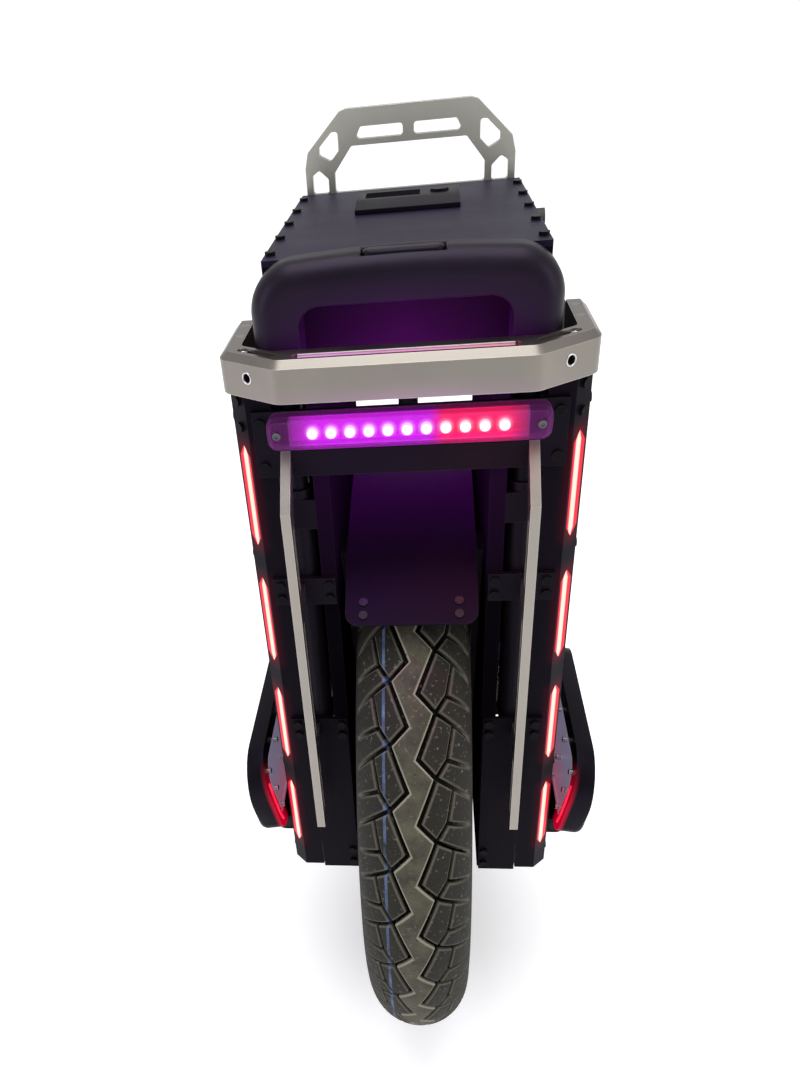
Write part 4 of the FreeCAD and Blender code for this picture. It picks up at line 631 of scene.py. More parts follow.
# %% Cut the sheet, then pull out the side walls
STRIPS, LANE, LANES, OFFSET = 8, 4.1, 12, 0.13
CROWN_DROP = 38 * MM
CROWN = (TYRE_HALF ** 2 + CROWN_DROP ** 2) / (2 * CROWN_DROP) / MM
WALL = [(39.45, 217.0), (40.0, 212.0), (39.9, 209.0), (39.5, 206.6), (39.95, 205.8), (39.7, 204.4),
        (38.9, 203.6), (37.9, 199.4), (36.0, 195.4), (36.4, 194.4), (35.7, 193.2), (34.3, 192.4),
        (31.5, 189.9), (28.4, 187.7), (27.0, 187.25), (27.0, 180.0), (20.0, 180.0), (21.5, 188.0),
        (29.5, 200.0), (33.0, 212.0), (30.0, 221.4), (20.0, 233.4)]
cuts = [((0, (step + OFFSET) * PITCH / STRIPS, 0), (0, 1, 0)) for step in range(-2 * STRIPS, 3 * STRIPS)]
cuts += [((lane * LANE + OFFSET, 0, 0), (1, 0, 0)) for lane in range(-LANES, LANES + 1)]
for place, direction in cuts:
    bpy.ops.mesh.select_all(action="SELECT")
    bpy.ops.mesh.bisect(plane_co=place, plane_no=direction, threshold=1e-5)
edge_angle = TREAD_EDGE / CROWN
profile = [(CROWN * math.sin(edge_angle), TYRE_RADIUS / MM - CROWN + CROWN * math.cos(edge_angle)), *WALL]
reach = [TREAD_EDGE]
for near, far in zip(profile, profile[1:]):
    reach.append(reach[-1] + math.dist(near, far))
for side in (-1, 1):
    pick(tread, lambda centre, edge: abs(centre.x - side * TREAD_EDGE) < WELD, "edges")
    for near, far in zip(reach, reach[1:]):
        bpy.ops.mesh.extrude_edges_move(TRANSFORM_OT_translate={"value": (side * (far - near), 0, 0)})
let_go()
print("sheet with walls:", len(tread.data.polygons), "faces")

# %% [markdown]
# Two more things go with the sheet into the wheel: how deep each point lies in a groove, and where it was on
# the flat sheet, as a UV map. Then each point is laid on the tyre's section, and the pitch is repeated by a
# spin.

# %% Wrap it, repeat it, close it
NODE_ANGLE, STEP_SLACK = math.radians(139.5), 0.001
depths = tread.data.attributes.new("groove", "FLOAT", "POINT")
for vertex, value in zip(tread.data.vertices, depths.data):
    value.value = -vertex.co.z / GROOVE_DEPTH
flat_map = tread.data.uv_layers.new(name="sheet")
for loop, spot in zip(tread.data.loops, flat_map.data):
    point = tread.data.vertices[loop.vertex_index].co
    spot.uv = (point.y / PITCH, 0.5 + point.x * MM / UV_SPAN)


def on_section(across):
    """Half width, radius and outward direction of the section at an arc length from the crown."""
    if abs(across) <= TREAD_EDGE:
        angle = across / CROWN
        return (CROWN * math.sin(angle), TYRE_RADIUS / MM - CROWN + CROWN * math.cos(angle),
                math.sin(angle), math.cos(angle))
    step = next((index for index, value in enumerate(reach[1:]) if value >= abs(across) - STEP_SLACK),
                len(reach) - 2)
    share = (abs(across) - reach[step]) / (reach[step + 1] - reach[step])
    half, radius = (near + (far - near) * share for near, far in zip(profile[step], profile[step + 1]))
    return math.copysign(half, across), radius, 0.0, 1.0


for vertex in tread.data.vertices:
    half, radius, outward_x, outward_r = on_section(vertex.co.x)
    angle = NODE_ANGLE - vertex.co.y * MM / TYRE_RADIUS
    half += vertex.co.z * outward_x
    radius = (radius + vertex.co.z * outward_r) * MM
    vertex.co = (half * MM, -radius * math.sin(angle), AXLE_HEIGHT - radius * math.cos(angle))
pick(tread, lambda centre, face: True)
bpy.ops.mesh.spin(steps=PITCHES - 1, dupli=True, angle=2 * math.pi * (PITCHES - 1) / PITCHES,
                  center=(0, 0, AXLE_HEIGHT), axis=(1, 0, 0))
bpy.ops.mesh.select_all(action="SELECT")
bpy.ops.mesh.remove_doubles(threshold=0.02 * MM)
bpy.ops.mesh.select_mode(type="EDGE")
bpy.ops.mesh.select_all(action="DESELECT")
bpy.ops.mesh.select_non_manifold(extend=False)
bpy.ops.mesh.bridge_edge_loops()
bpy.ops.mesh.select_all(action="SELECT")
bpy.ops.mesh.normals_make_consistent(inside=False)
take(tread)
smooth(angle=math.radians(38))
tread.data.materials.append(rubber)
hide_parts("tyre")
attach(tread, "wheel")
print("tyre:", len(tread.data.polygons), "faces")

# %% [markdown]
# ## Light strips
# Each case has four strips on its rear chamfer: a frosted cover over a row of small lamps. Nearest the lamps
# it is white hot, and the rest of the cover shows pure red. The pattern is worked out from the place alone:
# how far across the chamfer a point lies, and how far along its own strip. The hot core narrows to a point
# at both ends.

# %% The strips' glow
RED, HOT = (0.38, 0.0, 0.013), (1.0, 0.40, 0.33)
STRIP_COUNT, STRIP_HALF = 4, 34.7 * MM
STRIP_X, STRIP_Y = mm(100.25, -115.25)
CORE_HALF, CORE_POINT, CORE_SHIFT, CORE_BLUR = mm(2.2, 6, 0.8, 0.45)
strip_low, strip_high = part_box("right_light_strips")
strip_pitch = (strip_high[2] - strip_low[2] - 2 * STRIP_HALF) / (STRIP_COUNT - 1)
strip_first = strip_low[2] + STRIP_HALF


def from_strips(x, y):
    """How far a point lies outward and forward of the strips' middle line."""
    return gap(size_of(x), STRIP_X), gap(y, STRIP_Y)


strip_light = FINISHES["red_light"]
x, y, z = place_in(strip_light)
across = product(sum_of("ADD", *from_strips(x, y)), math.sqrt(0.5))
wrapped = sum_of("WRAP", z, strip_first + strip_pitch / 2, strip_first - strip_pitch / 2)
from_middle = size_of(gap(wrapped, strip_first))
core_half = ramp(from_middle, STRIP_HALF, STRIP_HALF - CORE_POINT, 0.0, CORE_HALF)
inside = gap(core_half, size_of(sum_of("ADD", across, CORE_SHIFT)))
glow(strip_light, RED, HOT, ramp(inside, -CORE_BLUR, CORE_BLUR), strength=2.2)
print("strips every", round(strip_pitch, 4), "m")

# %% [markdown]
# ## Tail light
# Eleven lamps stand behind one clear lens: the seven on the left shine magenta, the others red. Each lamp
# burns out to white in the middle, and turns to its colour towards its edge.

# %% Lamps
LAMP_COUNT, LAMP_RADIUS = 11, 3.2 * MM
CHANGE, CHANGE_HALF = mm(16.7, 4)
MAGENTA, LAMP_RED, WHITE = (0.30, 0.0, 0.36), (0.36, 0.0, 0.012), (1.0, 0.85, 0.95)
HOT_EDGE, HOT_BLUR = 1.15 * LAMP_RADIUS, 1.2 * MM
lamp_low, lamp_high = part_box("tail_light_lamps")
lamp_pitch = (lamp_high[0] - lamp_low[0] - 2 * LAMP_RADIUS) / (LAMP_COUNT - 1)
lamp_height = (lamp_low[2] + lamp_high[2]) / 2


def lamp_colour(material, magenta, red):
    """One colour on the left of the change, another on its right."""
    x, y, z = place_in(material)
    return blend_colours(magenta, red, ramp(x, CHANGE - CHANGE_HALF, CHANGE + CHANGE_HALF))


def from_lamp(x, z):
    """How far a point lies from the axis of its nearest lamp."""
    return length_of(sum_of("WRAP", x, lamp_pitch / 2, -lamp_pitch / 2), gap(z, lamp_height))


lamp_light = FINISHES["magenta_light"]
x, y, z = place_in(lamp_light)
hot = ramp(from_lamp(x, z), HOT_EDGE, HOT_EDGE - HOT_BLUR)
glow(lamp_light, lamp_colour(lamp_light, MAGENTA, LAMP_RED), WHITE, hot, strength=2.4)
print("lamps every", round(lamp_pitch, 4), "m")

# %% [markdown]
# The board behind the lamps shines in their colour, brighter in a ring round each lamp, and falls dark
# towards its two ends: painted light of the lamps on the board.

# %% The board behind the lamps
BOARD_END, BOARD_FULL = mm(74, 54)
RING_EDGE, RING_FULL, RING_POWER = 1.9 * LAMP_RADIUS, 0.9 * LAMP_RADIUS, 2
BOARD_DARK, BOARD_MAGENTA, BOARD_RED = (0.03, 0.006, 0.032), (0.50, 0.0, 0.62), (0.72, 0.0, 0.022)
RING_MAGENTA, RING_RED = (1.0, 0.5, 1.0), (1.0, 0.42, 0.45)
lamp_board = finish("lamp_board", (0.010, 0.008, 0.011), (0.007, 0.006, 0.008), (0.03, 0.03, 0.03),
                    (0.5, 0.6), specular=0.1)
x, y, z = place_in(lamp_board)
sideways = size_of(x)
ring = sum_of("POWER", ramp(from_lamp(x, z), RING_EDGE, RING_FULL), RING_POWER)
ring = product(ring, sum_of("LESS_THAN", sideways, (LAMP_COUNT / 2) * lamp_pitch))
board_colour = blend_colours(BOARD_DARK, lamp_colour(lamp_board, BOARD_MAGENTA, BOARD_RED),
                             ramp(sideways, BOARD_END, BOARD_FULL))
# Painted light: the lamps' glow painted on the board.
glow(lamp_board, board_colour, lamp_colour(lamp_board, RING_MAGENTA, RING_RED), ring)
repaint("tail_light_board", lamp_board)
print("board glows out to", round(BOARD_END, 3), "m")

# %% [markdown]
# The lens is clear plastic that scatters some of the light, so it glows by itself: most at the height of the
# lamps and least at its ends. Its edges catch the colour all round.

# %% The lens
LENS_END, LENS_FULL, LENS_RISE = mm(71, 57, 15)
LENS_DARK, LENS_MAGENTA, LENS_RED = (0.09, 0.012, 0.09), (0.60, 0.0, 0.75), (1.0, 0.0, 0.03)
LENS_EDGE = (1.0, 0.22, 1.0)
tail_lens = finish("tail_lens", (0.24, 0.025, 0.27), (0.19, 0.02, 0.22), (0.8, 0.5, 0.8),
                   (0.10, 0.2), bump=0.03, specular=0.3)
x, y, z = place_in(tail_lens)
tree = tail_lens.node_tree
tree.nodes["Principled BSDF"].inputs["Alpha"].default_value = 0.16
bright = product(ramp(size_of(x), LENS_END, LENS_FULL),
                 ramp(size_of(gap(z, lamp_height)), LENS_RISE, 0))
body = blend_colours(LENS_DARK, lamp_colour(tail_lens, LENS_MAGENTA, LENS_RED), bright)
edges = next(node for node in tree.nodes if node.type == "GROUP" and node.node_tree == worn_lit_edges)
glow(tail_lens, body, LENS_EDGE, edges.outputs["Edge"], strength=1.6)
repaint("tail_light_lens", tail_lens)
print("lens lit", round(2 * LENS_END, 3), "m wide")

# %% [markdown]
# ## Painted glow in the rail's slot
# The long slot in the rail's top shows a thin magenta line that turns red to the right. A bar in the slot
# shines in the tail light's colours: painted light that stands for the lamps' glow on the slot's far wall.
# The slot's far edge is broken by a small bevel in a near-white colour, a painted highlight.

# %% Glowing bar and highlighted slot edge
SLOT_GLOW_RANGE = mm(-40.5, 49.5)
LIP_PICK_Z, LIP_PICK_Y, LIP_PICK_X = mm(646.5, -141.9, 1)


def bar(name, low, high, round_by, steps=3):
    """A block between two corners with its edges rounded."""
    piece = block(name, low, high)
    finish_off(piece, "BEVEL", width=round_by, segments=steps)
    smooth()
    return piece


slot_glow_finish = finish("slot_glow_finish", (0.16, 0.02, 0.15), (0.12, 0.015, 0.11), (0.25, 0.05, 0.24), **COVER)
x, y, z = place_in(slot_glow_finish)
# Painted light: the bar shines magenta to red for the lamps' glow inside the slot.
glow(slot_glow_finish, (0.48, 0.02, 0.46), (0.62, 0.02, 0.11), ramp(x, *SLOT_GLOW_RANGE))
slot_glow_bar = bar("rail_slot_glow", mm(-57, -147.6, 630), mm(57, -142.2, 645.6), round_by=0.6 * MM)
slot_glow_bar.data.materials.append(slot_glow_finish)
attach(slot_glow_bar, "chassis")
lip = bar("rail_slot_lip", mm(-58, -142.2, 645.0), mm(58, -141.0, 646.9), round_by=0.1 * MM,
          steps=1)
pick(lip, lambda centre, edge: (centre.z > LIP_PICK_Z and centre.y < LIP_PICK_Y
                                and abs(centre.x) < LIP_PICK_X), "edges")
bpy.ops.mesh.bevel(offset=0.95 * MM, segments=1)
let_go()
# Painted highlight: the bevel's near-white colour stands for light caught on the slot's far edge.
bright_edge = finish("bright_edge", (0.86, 0.84, 0.80), (0.80, 0.78, 0.74), (0.95, 0.94, 0.92), (0.25, 0.35))
lip.data.materials.append(bright_edge)
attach(lip, "chassis")
print("slot_glow_bar", slot_glow_bar.name, "and", lip.name)

# %% [markdown]
# The rail is blasted aluminium, a little darker than the other silver pieces. Its lower edge, just over the
# tail light, shines violet, most in the middle: painted light from the tail light.

# %% The rail's finish
RAIL_RISE, RAIL_POWER, RAIL_HALF = 11 * MM, 1.5, 95 * MM
rail_finish = finish("rail_silver", (0.235, 0.216, 0.190), (0.195, 0.180, 0.160), (0.70, 0.66, 0.59),
                     **BLASTED)
x, y, z = place_in(rail_finish)
rail_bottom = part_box("rear_rail")[0][2]
low_edge = sum_of("POWER", ramp(z, rail_bottom + RAIL_RISE, rail_bottom), RAIL_POWER)
rail_glow_mask = product(low_edge, ramp(size_of(x), RAIL_HALF, 0))
# Painted light: the tail light's violet glow on the rail's lower edge.
glow(rail_finish, UNLIT, (0.11, 0.012, 0.13), rail_glow_mask)
repaint("rear_rail", rail_finish)
print("rail tinted", round(RAIL_RISE, 3), "m up")

# %% [markdown]
# ## The light's own colour on its neighbours
# The lamps tint what stands round them: the rail's underside, the mudguard, the bars. Small lamps just
# outside the lens do that work, two for each colour, one aimed up and one down. The camera doesn't see them.

# %% Spill of the tail light
SPILL_Y, SPILL_Z, SPILL_BACK, SPILL_AIM, SPILL_HEIGHT = mm(-137, 598, 40, 60, 10)
for name, middle, length, colour in (("magenta_spill", -22 * MM, 72 * MM, (0.62, 0.05, 1.0)),
                                     ("red_spill", 40 * MM, 44 * MM, (1.0, 0.03, 0.12))):
    for word, turn, power in (("down", -1, 0.07), ("up", 1, 0.06)):
        aim = (middle, SPILL_Y - SPILL_BACK, SPILL_Z + turn * SPILL_AIM)
        spill = lamp("%s_%s" % (name, word), (middle, SPILL_Y, SPILL_Z), aim, length, SPILL_HEIGHT, power,
                     colour)
        spill.visible_camera = False
print("spill from", SPILL_Z, "m up")

# %% [markdown]
# Round each strip the case itself shines faintly red: painted light from the strips on the case, worked out
# as a distance from the nearest strip.

# %% The cases round their strips
HALO_REACH, HALO_POWER, HALO_END = 13 * MM, 1.8, 3 * MM
case_finish = finish("lit_case", **MATTE)
x, y, z = place_in(case_finish)
steps = sum_of("ROUND", product(gap(z, strip_first), 1 / strip_pitch))
steps = sum_of("MINIMUM", sum_of("MAXIMUM", steps, 0.0), STRIP_COUNT - 1.0)
middle = sum_of("MULTIPLY_ADD", steps, strip_pitch, strip_first)
past_end = gap(size_of(sum_of("SUBTRACT", z, middle)), STRIP_HALF - HALO_END)
distance = length_of(*from_strips(x, y), sum_of("MAXIMUM", past_end, 0.0))
# Painted light: the strips' red glow on the case.
glow(case_finish, UNLIT, (0.115, 0.0, 0.006), sum_of("POWER", ramp(distance, HALO_REACH, 0), HALO_POWER))
for side in ("left", "right"):
    repaint(side + "_battery_case", case_finish)
print("cases shine within", HALO_REACH, "m of their strips")

# %% [markdown]
# Under the tail light the frame plates and the upper part of the mudguard shine violet, painted light from
# the tail light, and grow darker further down. The plates don't mirror anything there, so that no bright
# patch shows beside the mudguard.
# The screws round them are blackened, the frame bolts bare.

# %% Plates, mudguard and small screws
PLATE_RANGE = mm(470, 580)
GUARD_RANGE = mm(-105, -30)
inner_black = finish("inner_black", **DEEP, edge=(0.015, 0.013, 0.018), rough=(0.6, 0.7), specular=0.0)
x, y, z = place_in(inner_black)
# Painted light: the tail light's violet on the frame plates.
glow(inner_black, UNLIT, (0.010, 0.001, 0.016), ramp(z, *PLATE_RANGE))
repaint("frame_plates", inner_black)
guard_finish = finish("lit_guard", **MATTE)
x, y, z = place_in(guard_finish)
# Painted light: the tail light's violet on the mudguard.
glow(guard_finish, (0.003, 0.0006, 0.005), (0.024, 0.001, 0.040), ramp(y, *GUARD_RANGE))
repaint("mudguard", guard_finish)
screw_black = finish("screw_black", (0.0042, 0.0038, 0.0048), (0.003, 0.0027, 0.0035), (0.03, 0.029, 0.033),
                     (0.3, 0.42), specular=0.05)
repaint("panel_screws", screw_black)
repaint("mudguard_screws", FINISHES["black_steel"])
repaint("frame_bolts", FINISHES["silver_alloy"])
print("plates and mudguard tinted")

# %% [markdown]
# ## Pedals
# A pedal is a cast plate with round corners and soft edges, a recess in its upper side for the deck, and a
# barrel for the hinge pin. It is modelled flat, as on a bench: a block whose two outer corners are rounded
# wide and the two at the hinge less, its top inset and sunk. Its underside is then tilted, so that the
# casting grows thicker towards the hinge, and hollowed.

# %% The pedal plate, flat
PEDAL_NEAR, PEDAL_FAR, PEDAL_HALF = mm(12, 86, 96)
PEDAL_UNDER, PEDAL_TOP, PEDAL_CORNER = mm(-8, 6, 33)
DECK_MARGIN, DECK_DEPTH = mm(12, 3)
NEAR_CORNER, KEEL_ROUND, KEEL_TURN, KEEL_DROP = 12 * MM, 8 * MM, math.radians(6.5), 5 * MM
BARREL_RADIUS, BARREL_HALF, BARREL_ROUND = mm(8, 59.5, 0.8)
NECK_OVERLAP, NECK_DROP, NECK_ROUND = mm(6, 1, 1.5)
LEVEL, NEARLY, UP = 0.1 * MM, 1 * MM, 0.9


def plate(name, low, high, corner, chosen=lambda centre: True):
    """A flat block whose chosen upright edges are round."""
    piece = block(name, low, high)
    middle = (low[2] + high[2]) / 2
    pick(piece, lambda centre, edge: abs(centre.z - middle) < LEVEL and chosen(centre), "edges")
    bpy.ops.mesh.bevel(offset=corner, segments=9)
    let_go()
    return piece


pedal = plate("right_pedal_frame", (PEDAL_NEAR, -PEDAL_HALF, PEDAL_UNDER),
              (PEDAL_FAR, PEDAL_HALF, PEDAL_TOP), PEDAL_CORNER,
              lambda centre: centre.x > PEDAL_NEAR + NEARLY)
pick(pedal, lambda centre, face: face.normal.z > UP)
sink(DECK_MARGIN, -DECK_DEPTH)
pick(pedal, lambda centre, edge: centre.x < PEDAL_NEAR + NEARLY and abs(centre.y) > PEDAL_HALF - NEARLY,
     "edges")
bpy.ops.mesh.bevel(offset=NEAR_CORNER, segments=6)
pick(pedal, lambda centre, face: face.normal.z < -UP)
bpy.ops.transform.rotate(value=KEEL_TURN, orient_axis="Y", center_override=(PEDAL_FAR, 0, PEDAL_UNDER))
pick(pedal, lambda centre, edge: centre.x < PEDAL_NEAR + NEAR_CORNER and centre.z < PEDAL_UNDER - KEEL_DROP,
     "edges")
bpy.ops.mesh.bevel(offset=KEEL_ROUND, segments=6)
pick(pedal, lambda centre, face: face.normal.z < -UP)
sink(margin=9 * MM, move=3 * MM)
round_off(pedal, width=2.2 * MM, segments=4)
let_go()
bpy.ops.mesh.primitive_cylinder_add(vertices=40, radius=BARREL_RADIUS, depth=2 * BARREL_HALF,
                                    rotation=(math.pi / 2, 0, 0))
barrel = named("pedal_barrel")
settle(barrel)
round_off(barrel, BARREL_ROUND, 2)
neck = bar("pedal_neck", (0, -BARREL_HALF, PEDAL_UNDER),
           (PEDAL_NEAR + NECK_OVERLAP, BARREL_HALF, PEDAL_TOP - NECK_DROP), NECK_ROUND)
take(pedal)
for piece in (barrel, neck):
    piece.select_set(True)
bpy.ops.object.join()
smooth()
print("pedal plate:", len(pedal.data.polygons), "faces")

# %% [markdown]
# A sheet of grip lies in the recess, with a raised border. A thin red light runs along the rim at the rear
# end, drawn as a curve that five points lead, with a round section.

# %% The deck sheet and the light on the rim
DECK_GAP = 0.3 * MM
LIP_LIGHT = [(62.0, -88.0), (50.0, -89.6), (40.0, -90.0), (28.0, -90.0), (21.0, -88.0)]
LIGHT_RISE = 0.1 * MM
deck_inset = DECK_MARGIN + DECK_GAP
deck = plate("right_pedal_sheet",
             (PEDAL_NEAR + deck_inset, -PEDAL_HALF + deck_inset, PEDAL_TOP - DECK_DEPTH),
             (PEDAL_FAR - deck_inset, PEDAL_HALF - deck_inset, PEDAL_TOP), PEDAL_CORNER - DECK_MARGIN,
             lambda centre: centre.x > PEDAL_NEAR + DECK_MARGIN + NEARLY)
pick(deck, lambda centre, face: face.normal.z > UP)
sink(margin=3.2 * MM, move=-0.8 * MM)
round_off(deck, width=0.4 * MM, segments=2)
smooth()
let_go()
route = bpy.data.curves.new("right_pedal_light", "CURVE")
route.dimensions = "3D"
line = route.splines.new("NURBS")
line.points.add(len(LIP_LIGHT) - 1)
for spot, (out_mm, along_mm) in zip(line.points, LIP_LIGHT):
    spot.co = (out_mm * MM, along_mm * MM, PEDAL_TOP + LIGHT_RISE, 1)
line.use_endpoint_u = True
line.order_u = 3
route.bevel_depth = 1.1 * MM
route.bevel_resolution = 3
route.use_fill_caps = True
lip_light = placed("right_pedal_light", route)
take(lip_light)
bpy.ops.object.convert(target="MESH")
lip_light = bpy.context.object
smooth(angle=math.radians(50))
print("deck:", len(deck.data.polygons), "faces")

# %% [markdown]
# The light is uneven along its length. Its red glow on the lower part of the deck and on the face of the rim
# at the pedal's rear end is painted light, and the rest of the deck shines a faint lilac, painted light for
# the light that falls there. How high a point lies over the pedal's plane follows from the hinge and the
# angle of the fold.

# %% Finishes of the pedal
HINGE = Vector(mm(116.5, -13, 223.5))
FOLD = math.radians(-79)
DECK_RANGE = mm(246, 280)
FACE_RANGE = mm(2, 5)
RIM_BACK, RIM_RISE = mm(-86, -98), mm(304, 270)
pedal_light = finish("pedal_light", **RED_COVER)
beads = noise_at(place_of(pedal_light), scale=120.0)
glow(pedal_light, (0.75, 0.0, 0.022), (1.0, 0.04, 0.08), beads, strength=1.5)
deck_finish = finish("lit_deck", (0.30, 0.285, 0.34), (0.22, 0.21, 0.25), (0.5, 0.48, 0.55), (0.4, 0.6),
                     grain=1400.0, bump=0.4, specular=0.2)
x, y, z = place_in(deck_finish)
# Painted light: red low on the deck, lilac above.
glow(deck_finish, (0.24, 0.04, 0.08), (0.13, 0.11, 0.17), ramp(z, *DECK_RANGE))
rim_finish = finish("lit_rim", **COATED)
x, y, z = place_in(rim_finish)
over_hinge = product(gap(z, HINGE.z), math.cos(FOLD))
off_hinge = gap(size_of(x), HINGE.x)
on_face = ramp(sum_of("MULTIPLY_ADD", off_hinge, math.sin(FOLD), over_hinge), *FACE_RANGE)
at_end = product(ramp(y, *RIM_BACK), ramp(z, *RIM_RISE))
# Painted light: red glow on the face of the rim at the rear end.
glow(rim_finish, UNLIT, (0.48, 0.0, 0.022), product(on_face, at_end))
print("pedal finishes ready")

# %% [markdown]
# Now the right pedal is turned about the hinge pin into its folded place, and copied in mirror image. Each
# piece rides its own pedal's body, so that it folds down with it.

# %% Fold them up, copy them to the other side
folded = Matrix.Translation(HINGE) @ Matrix.Rotation(FOLD, 4, "Y")
for piece, paint, slot, stands_for in ((pedal, rim_finish, "black_metal", "_pedal"),
                                       (deck, deck_finish, "grey_deck", "_pedal_deck"),
                                       (lip_light, pedal_light, "red_light", "")):
    piece.data.materials.clear()
    piece.data.materials.append(paint)
    piece.data.transform(folded)
    other = placed(piece.name.replace("right", "left"), piece.data.copy())
    other.data.transform(Matrix.Scale(-1, 4, (1, 0, 0)))
    other.data.flip_normals()
    for side, thing in (("right", piece), ("left", other)):
        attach(thing, side + "_pedal_body")
        if stands_for:
            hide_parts(side + stands_for)
repaint("pedal_pins", FINISHES["black_steel"])
print("pedals folded")

# %% [markdown]
# ## Lid, display pod and lift handle
# The lid is a painted sheet; its violet cast, in its tone and its reflections, is painted violet light. The
# pod on it is moulded: a merged copy of its solid gets soft edges, and so does the lift handle, cut from
# thick plate.

# %% Lid finish, handle and pod
# Painted light: the lid's violet tone and sheen.
lid_finish = finish("lid_skin", (0.0088, 0.0062, 0.0190), (0.0060, 0.0044, 0.0130), (0.03, 0.028, 0.045),
                    (0.40, 0.5), grain=2200.0, specular=0.14, sheen=PAINTED_VIOLET_SHEEN)
repaint("top_plate", lid_finish)


def softened(name, node, width, segments, angle):
    """A merged copy of a solid with its sharp edges bevelled."""
    piece = placed(name, nodes[node].data.copy())
    pick(piece, lambda centre, face: True)
    bpy.ops.mesh.remove_doubles(threshold=0.005 * MM)
    bpy.ops.mesh.dissolve_limited(angle_limit=math.radians(0.5))
    bpy.ops.mesh.select_all(action="DESELECT")
    bpy.ops.mesh.select_mode(type="EDGE")
    bpy.ops.mesh.edges_select_sharp(sharpness=math.radians(angle))
    bpy.ops.mesh.bevel(offset=width, segments=segments, clamp_overlap=True)
    take(piece)
    smooth()
    finish_off(piece, "WEIGHTED_NORMAL", keep_sharp=True)
    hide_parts(node)
    return piece


handle_finish = finish("handle_silver", (0.46, 0.455, 0.40), (0.38, 0.375, 0.335), (0.80, 0.79, 0.73),
                       **BLASTED)
handle = softened("lift_handle_soft", "lift_handle", 1.2 * MM, 3, 40)
handle.data.materials[0] = handle_finish
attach(handle, "chassis")
pod = softened("display_pod_soft", "display_pod", 1.6 * MM, 4, 25)
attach(pod, "chassis")
print("pod:", len(pod.data.polygons), "faces")

# %% [markdown]
# The screws of the lens and of the rail's recesses are low turned heads with a round recess for the key.
# Each tapped hole of the rail stays open and has a bright, burnished rim.

# %% Small screws and hole rims
SCREWS = (("lens_screw_", mm(76, -134, 598.5), (0, -1, 0), mm(2.4, 1.4), "dark_steel"),
          ("rail_screw_", mm(90.5, -127.6, 644.2), (0, 0, 1), mm(2.6, 2.0), "zinc_steel"))
RAIL_HOLE, HOLE_FACING = mm(87.5, -141.5, 635.5), (0.581, -0.814)
RECESS_MARGIN, RECESS_DEPTH, HEAD_ROUND, HEAD_RISE = 0.45, 0.6, 0.12, 0.3


def facing(direction):
    """The turn that brings the Z axis into a direction."""
    return Vector(direction).to_track_quat("Z", "Y").to_matrix().to_4x4()


def small_screw(name, spot, direction, radius, height, paint, slot, body):
    """A low round head with a round recess, set on a spot and facing a direction."""
    let_go()
    bpy.ops.mesh.primitive_cylinder_add(vertices=36, radius=radius, depth=height)
    screw = named(name)
    pick(screw, lambda centre, face: face.normal.z > UP)
    sink(radius * RECESS_MARGIN, -height * RECESS_DEPTH)
    round_off(screw, radius * HEAD_ROUND, 3)
    smooth()
    rise = Vector(direction) * height * HEAD_RISE
    screw.data.transform(Matrix.Translation(Vector(spot) + rise) @ facing(direction))
    screw.data.materials.append(paint)
    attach(screw, body)


for side, word in ((-1, "left"), (1, "right")):
    for name, (across, back, up), direction, size, paint in SCREWS:
        small_screw(name + word, (side * across, back, up), direction, *size, FINISHES[paint], "zinc_steel",
                    "chassis")
    let_go()
    bpy.ops.mesh.primitive_torus_add(major_segments=40, minor_segments=10, major_radius=3.1 * MM,
                                     minor_radius=0.45 * MM)
    ring = named("rail_hole_rim_" + word)
    turn = facing((side * HOLE_FACING[0], HOLE_FACING[1], 0))
    ring.data.transform(Matrix.Translation((side * RAIL_HOLE[0], *RAIL_HOLE[1:])) @ turn)
    bpy.ops.object.shade_smooth()
    ring.data.materials.append(FINISHES["zinc_steel"])
    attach(ring, "chassis")
print("four screws and two rims set")

# %% [markdown]
# ## Trolley grip
# The grip is a moulded bridge with very soft edges, also round its hand opening. The solid has the large
# rounds; a merged copy of it gets its last sharp edges bevelled, so that it looks moulded all over. Its
# finish is satin, and low down in the middle it shines with the violet of the tail light below, painted
# light.

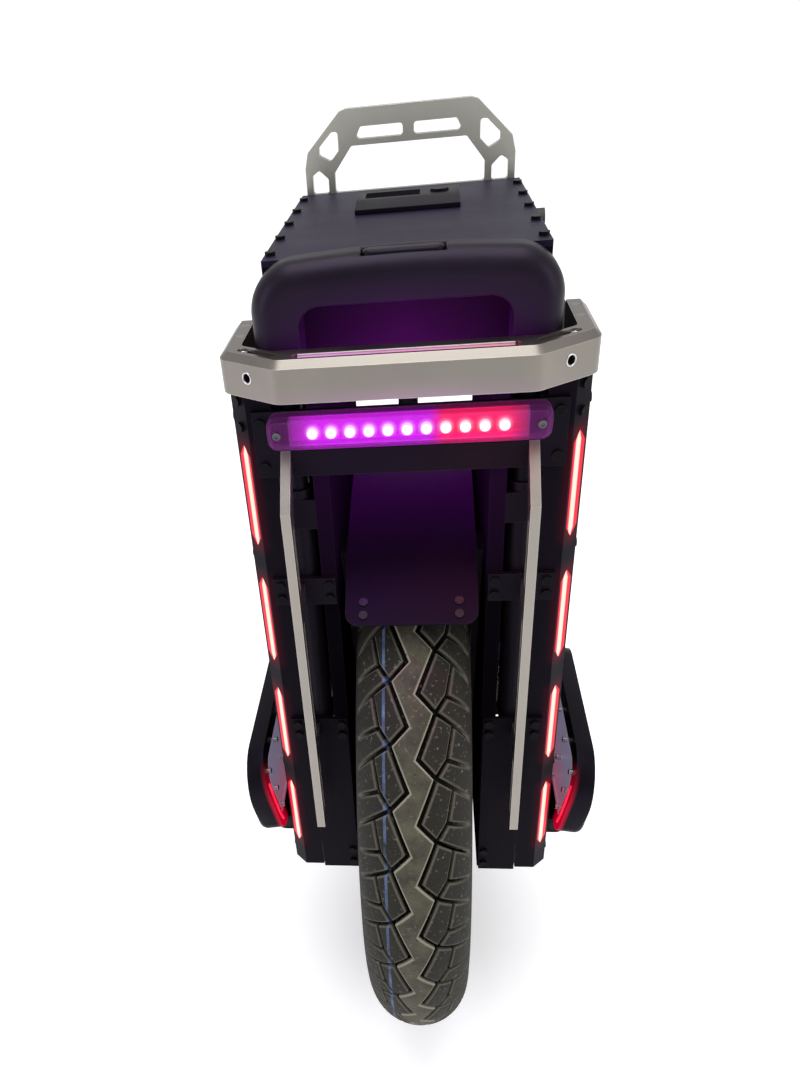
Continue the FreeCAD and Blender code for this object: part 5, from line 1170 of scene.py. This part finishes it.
# %% A softer grip
GRIP_HALF, GRIP_HALF_POWER = 82 * MM, 0.7
PAINTED_GLOW_RISE, GRIP_RISE_POWER = 62 * MM, 1.4
grip = softened("trolley_grip_soft", "trolley_grip", 4.5 * MM, 5, 35)
grip_finish = finish("grip_skin", **dict(SATIN, edge=(0.012, 0.011, 0.014), specular=0.2))
x, y, z = place_in(grip_finish)
grip_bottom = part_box("trolley_grip")[0][2]
in_middle = sum_of("POWER", ramp(size_of(x), GRIP_HALF, 0), GRIP_HALF_POWER)
low_down = sum_of("POWER", ramp(z, grip_bottom + PAINTED_GLOW_RISE, grip_bottom), GRIP_RISE_POWER)
# Painted light: the tail light's violet low on the grip.
glow(grip_finish, UNLIT, (0.085, 0.005, 0.135), product(in_middle, low_down))
grip.data.materials.clear()
grip.data.materials.append(grip_finish)
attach(grip, "trolley")
print("grip:", len(grip.data.polygons), "faces")

# %% [markdown]
# The rear wall of the box shows through the grip's hand opening. It shines with the same violet, painted
# light, as far up as the grip does.

# %% The wall behind it
WALL_HALF, WALL_IN, WALL_OUT = mm(75, 2, 0.5)
wall_finish = finish("lit_wall", **MATTE)
x, y, z = place_in(wall_finish)
box_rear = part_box("control_box")[0][1]
at_back = ramp(y, box_rear + WALL_IN, box_rear + WALL_OUT)
in_middle = ramp(size_of(x), WALL_HALF, 0)
low_down = ramp(z, grip_bottom + PAINTED_GLOW_RISE, grip_bottom)
# Painted light: the tail light's violet on the rear wall.
glow(wall_finish, UNLIT, (0.060, 0.002, 0.085), product(at_back, product(in_middle, low_down)))
repaint("control_box", wall_finish)
print("wall lit up to", round(grip_bottom + PAINTED_GLOW_RISE, 3), "m")

# %% [markdown]
# The release button is a small moulded pill in the top of the grip. It is made from its solid's own box,
# with round ends and soft edges.

# %% Its release button
BUTTON_END, BUTTON_ROUND = 0.49, 2.2 * MM
button_low, button_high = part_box("trolley_button")
button = plate("trolley_button_soft", button_low, button_high, BUTTON_END * (button_high[1] - button_low[1]))
round_off(button, BUTTON_ROUND, 4)
smooth()
button.data.materials.append(FINISHES["satin_black"])
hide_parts("trolley_button")
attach(button, "trolley_button_body")
print("button:", len(button.data.polygons), "faces")
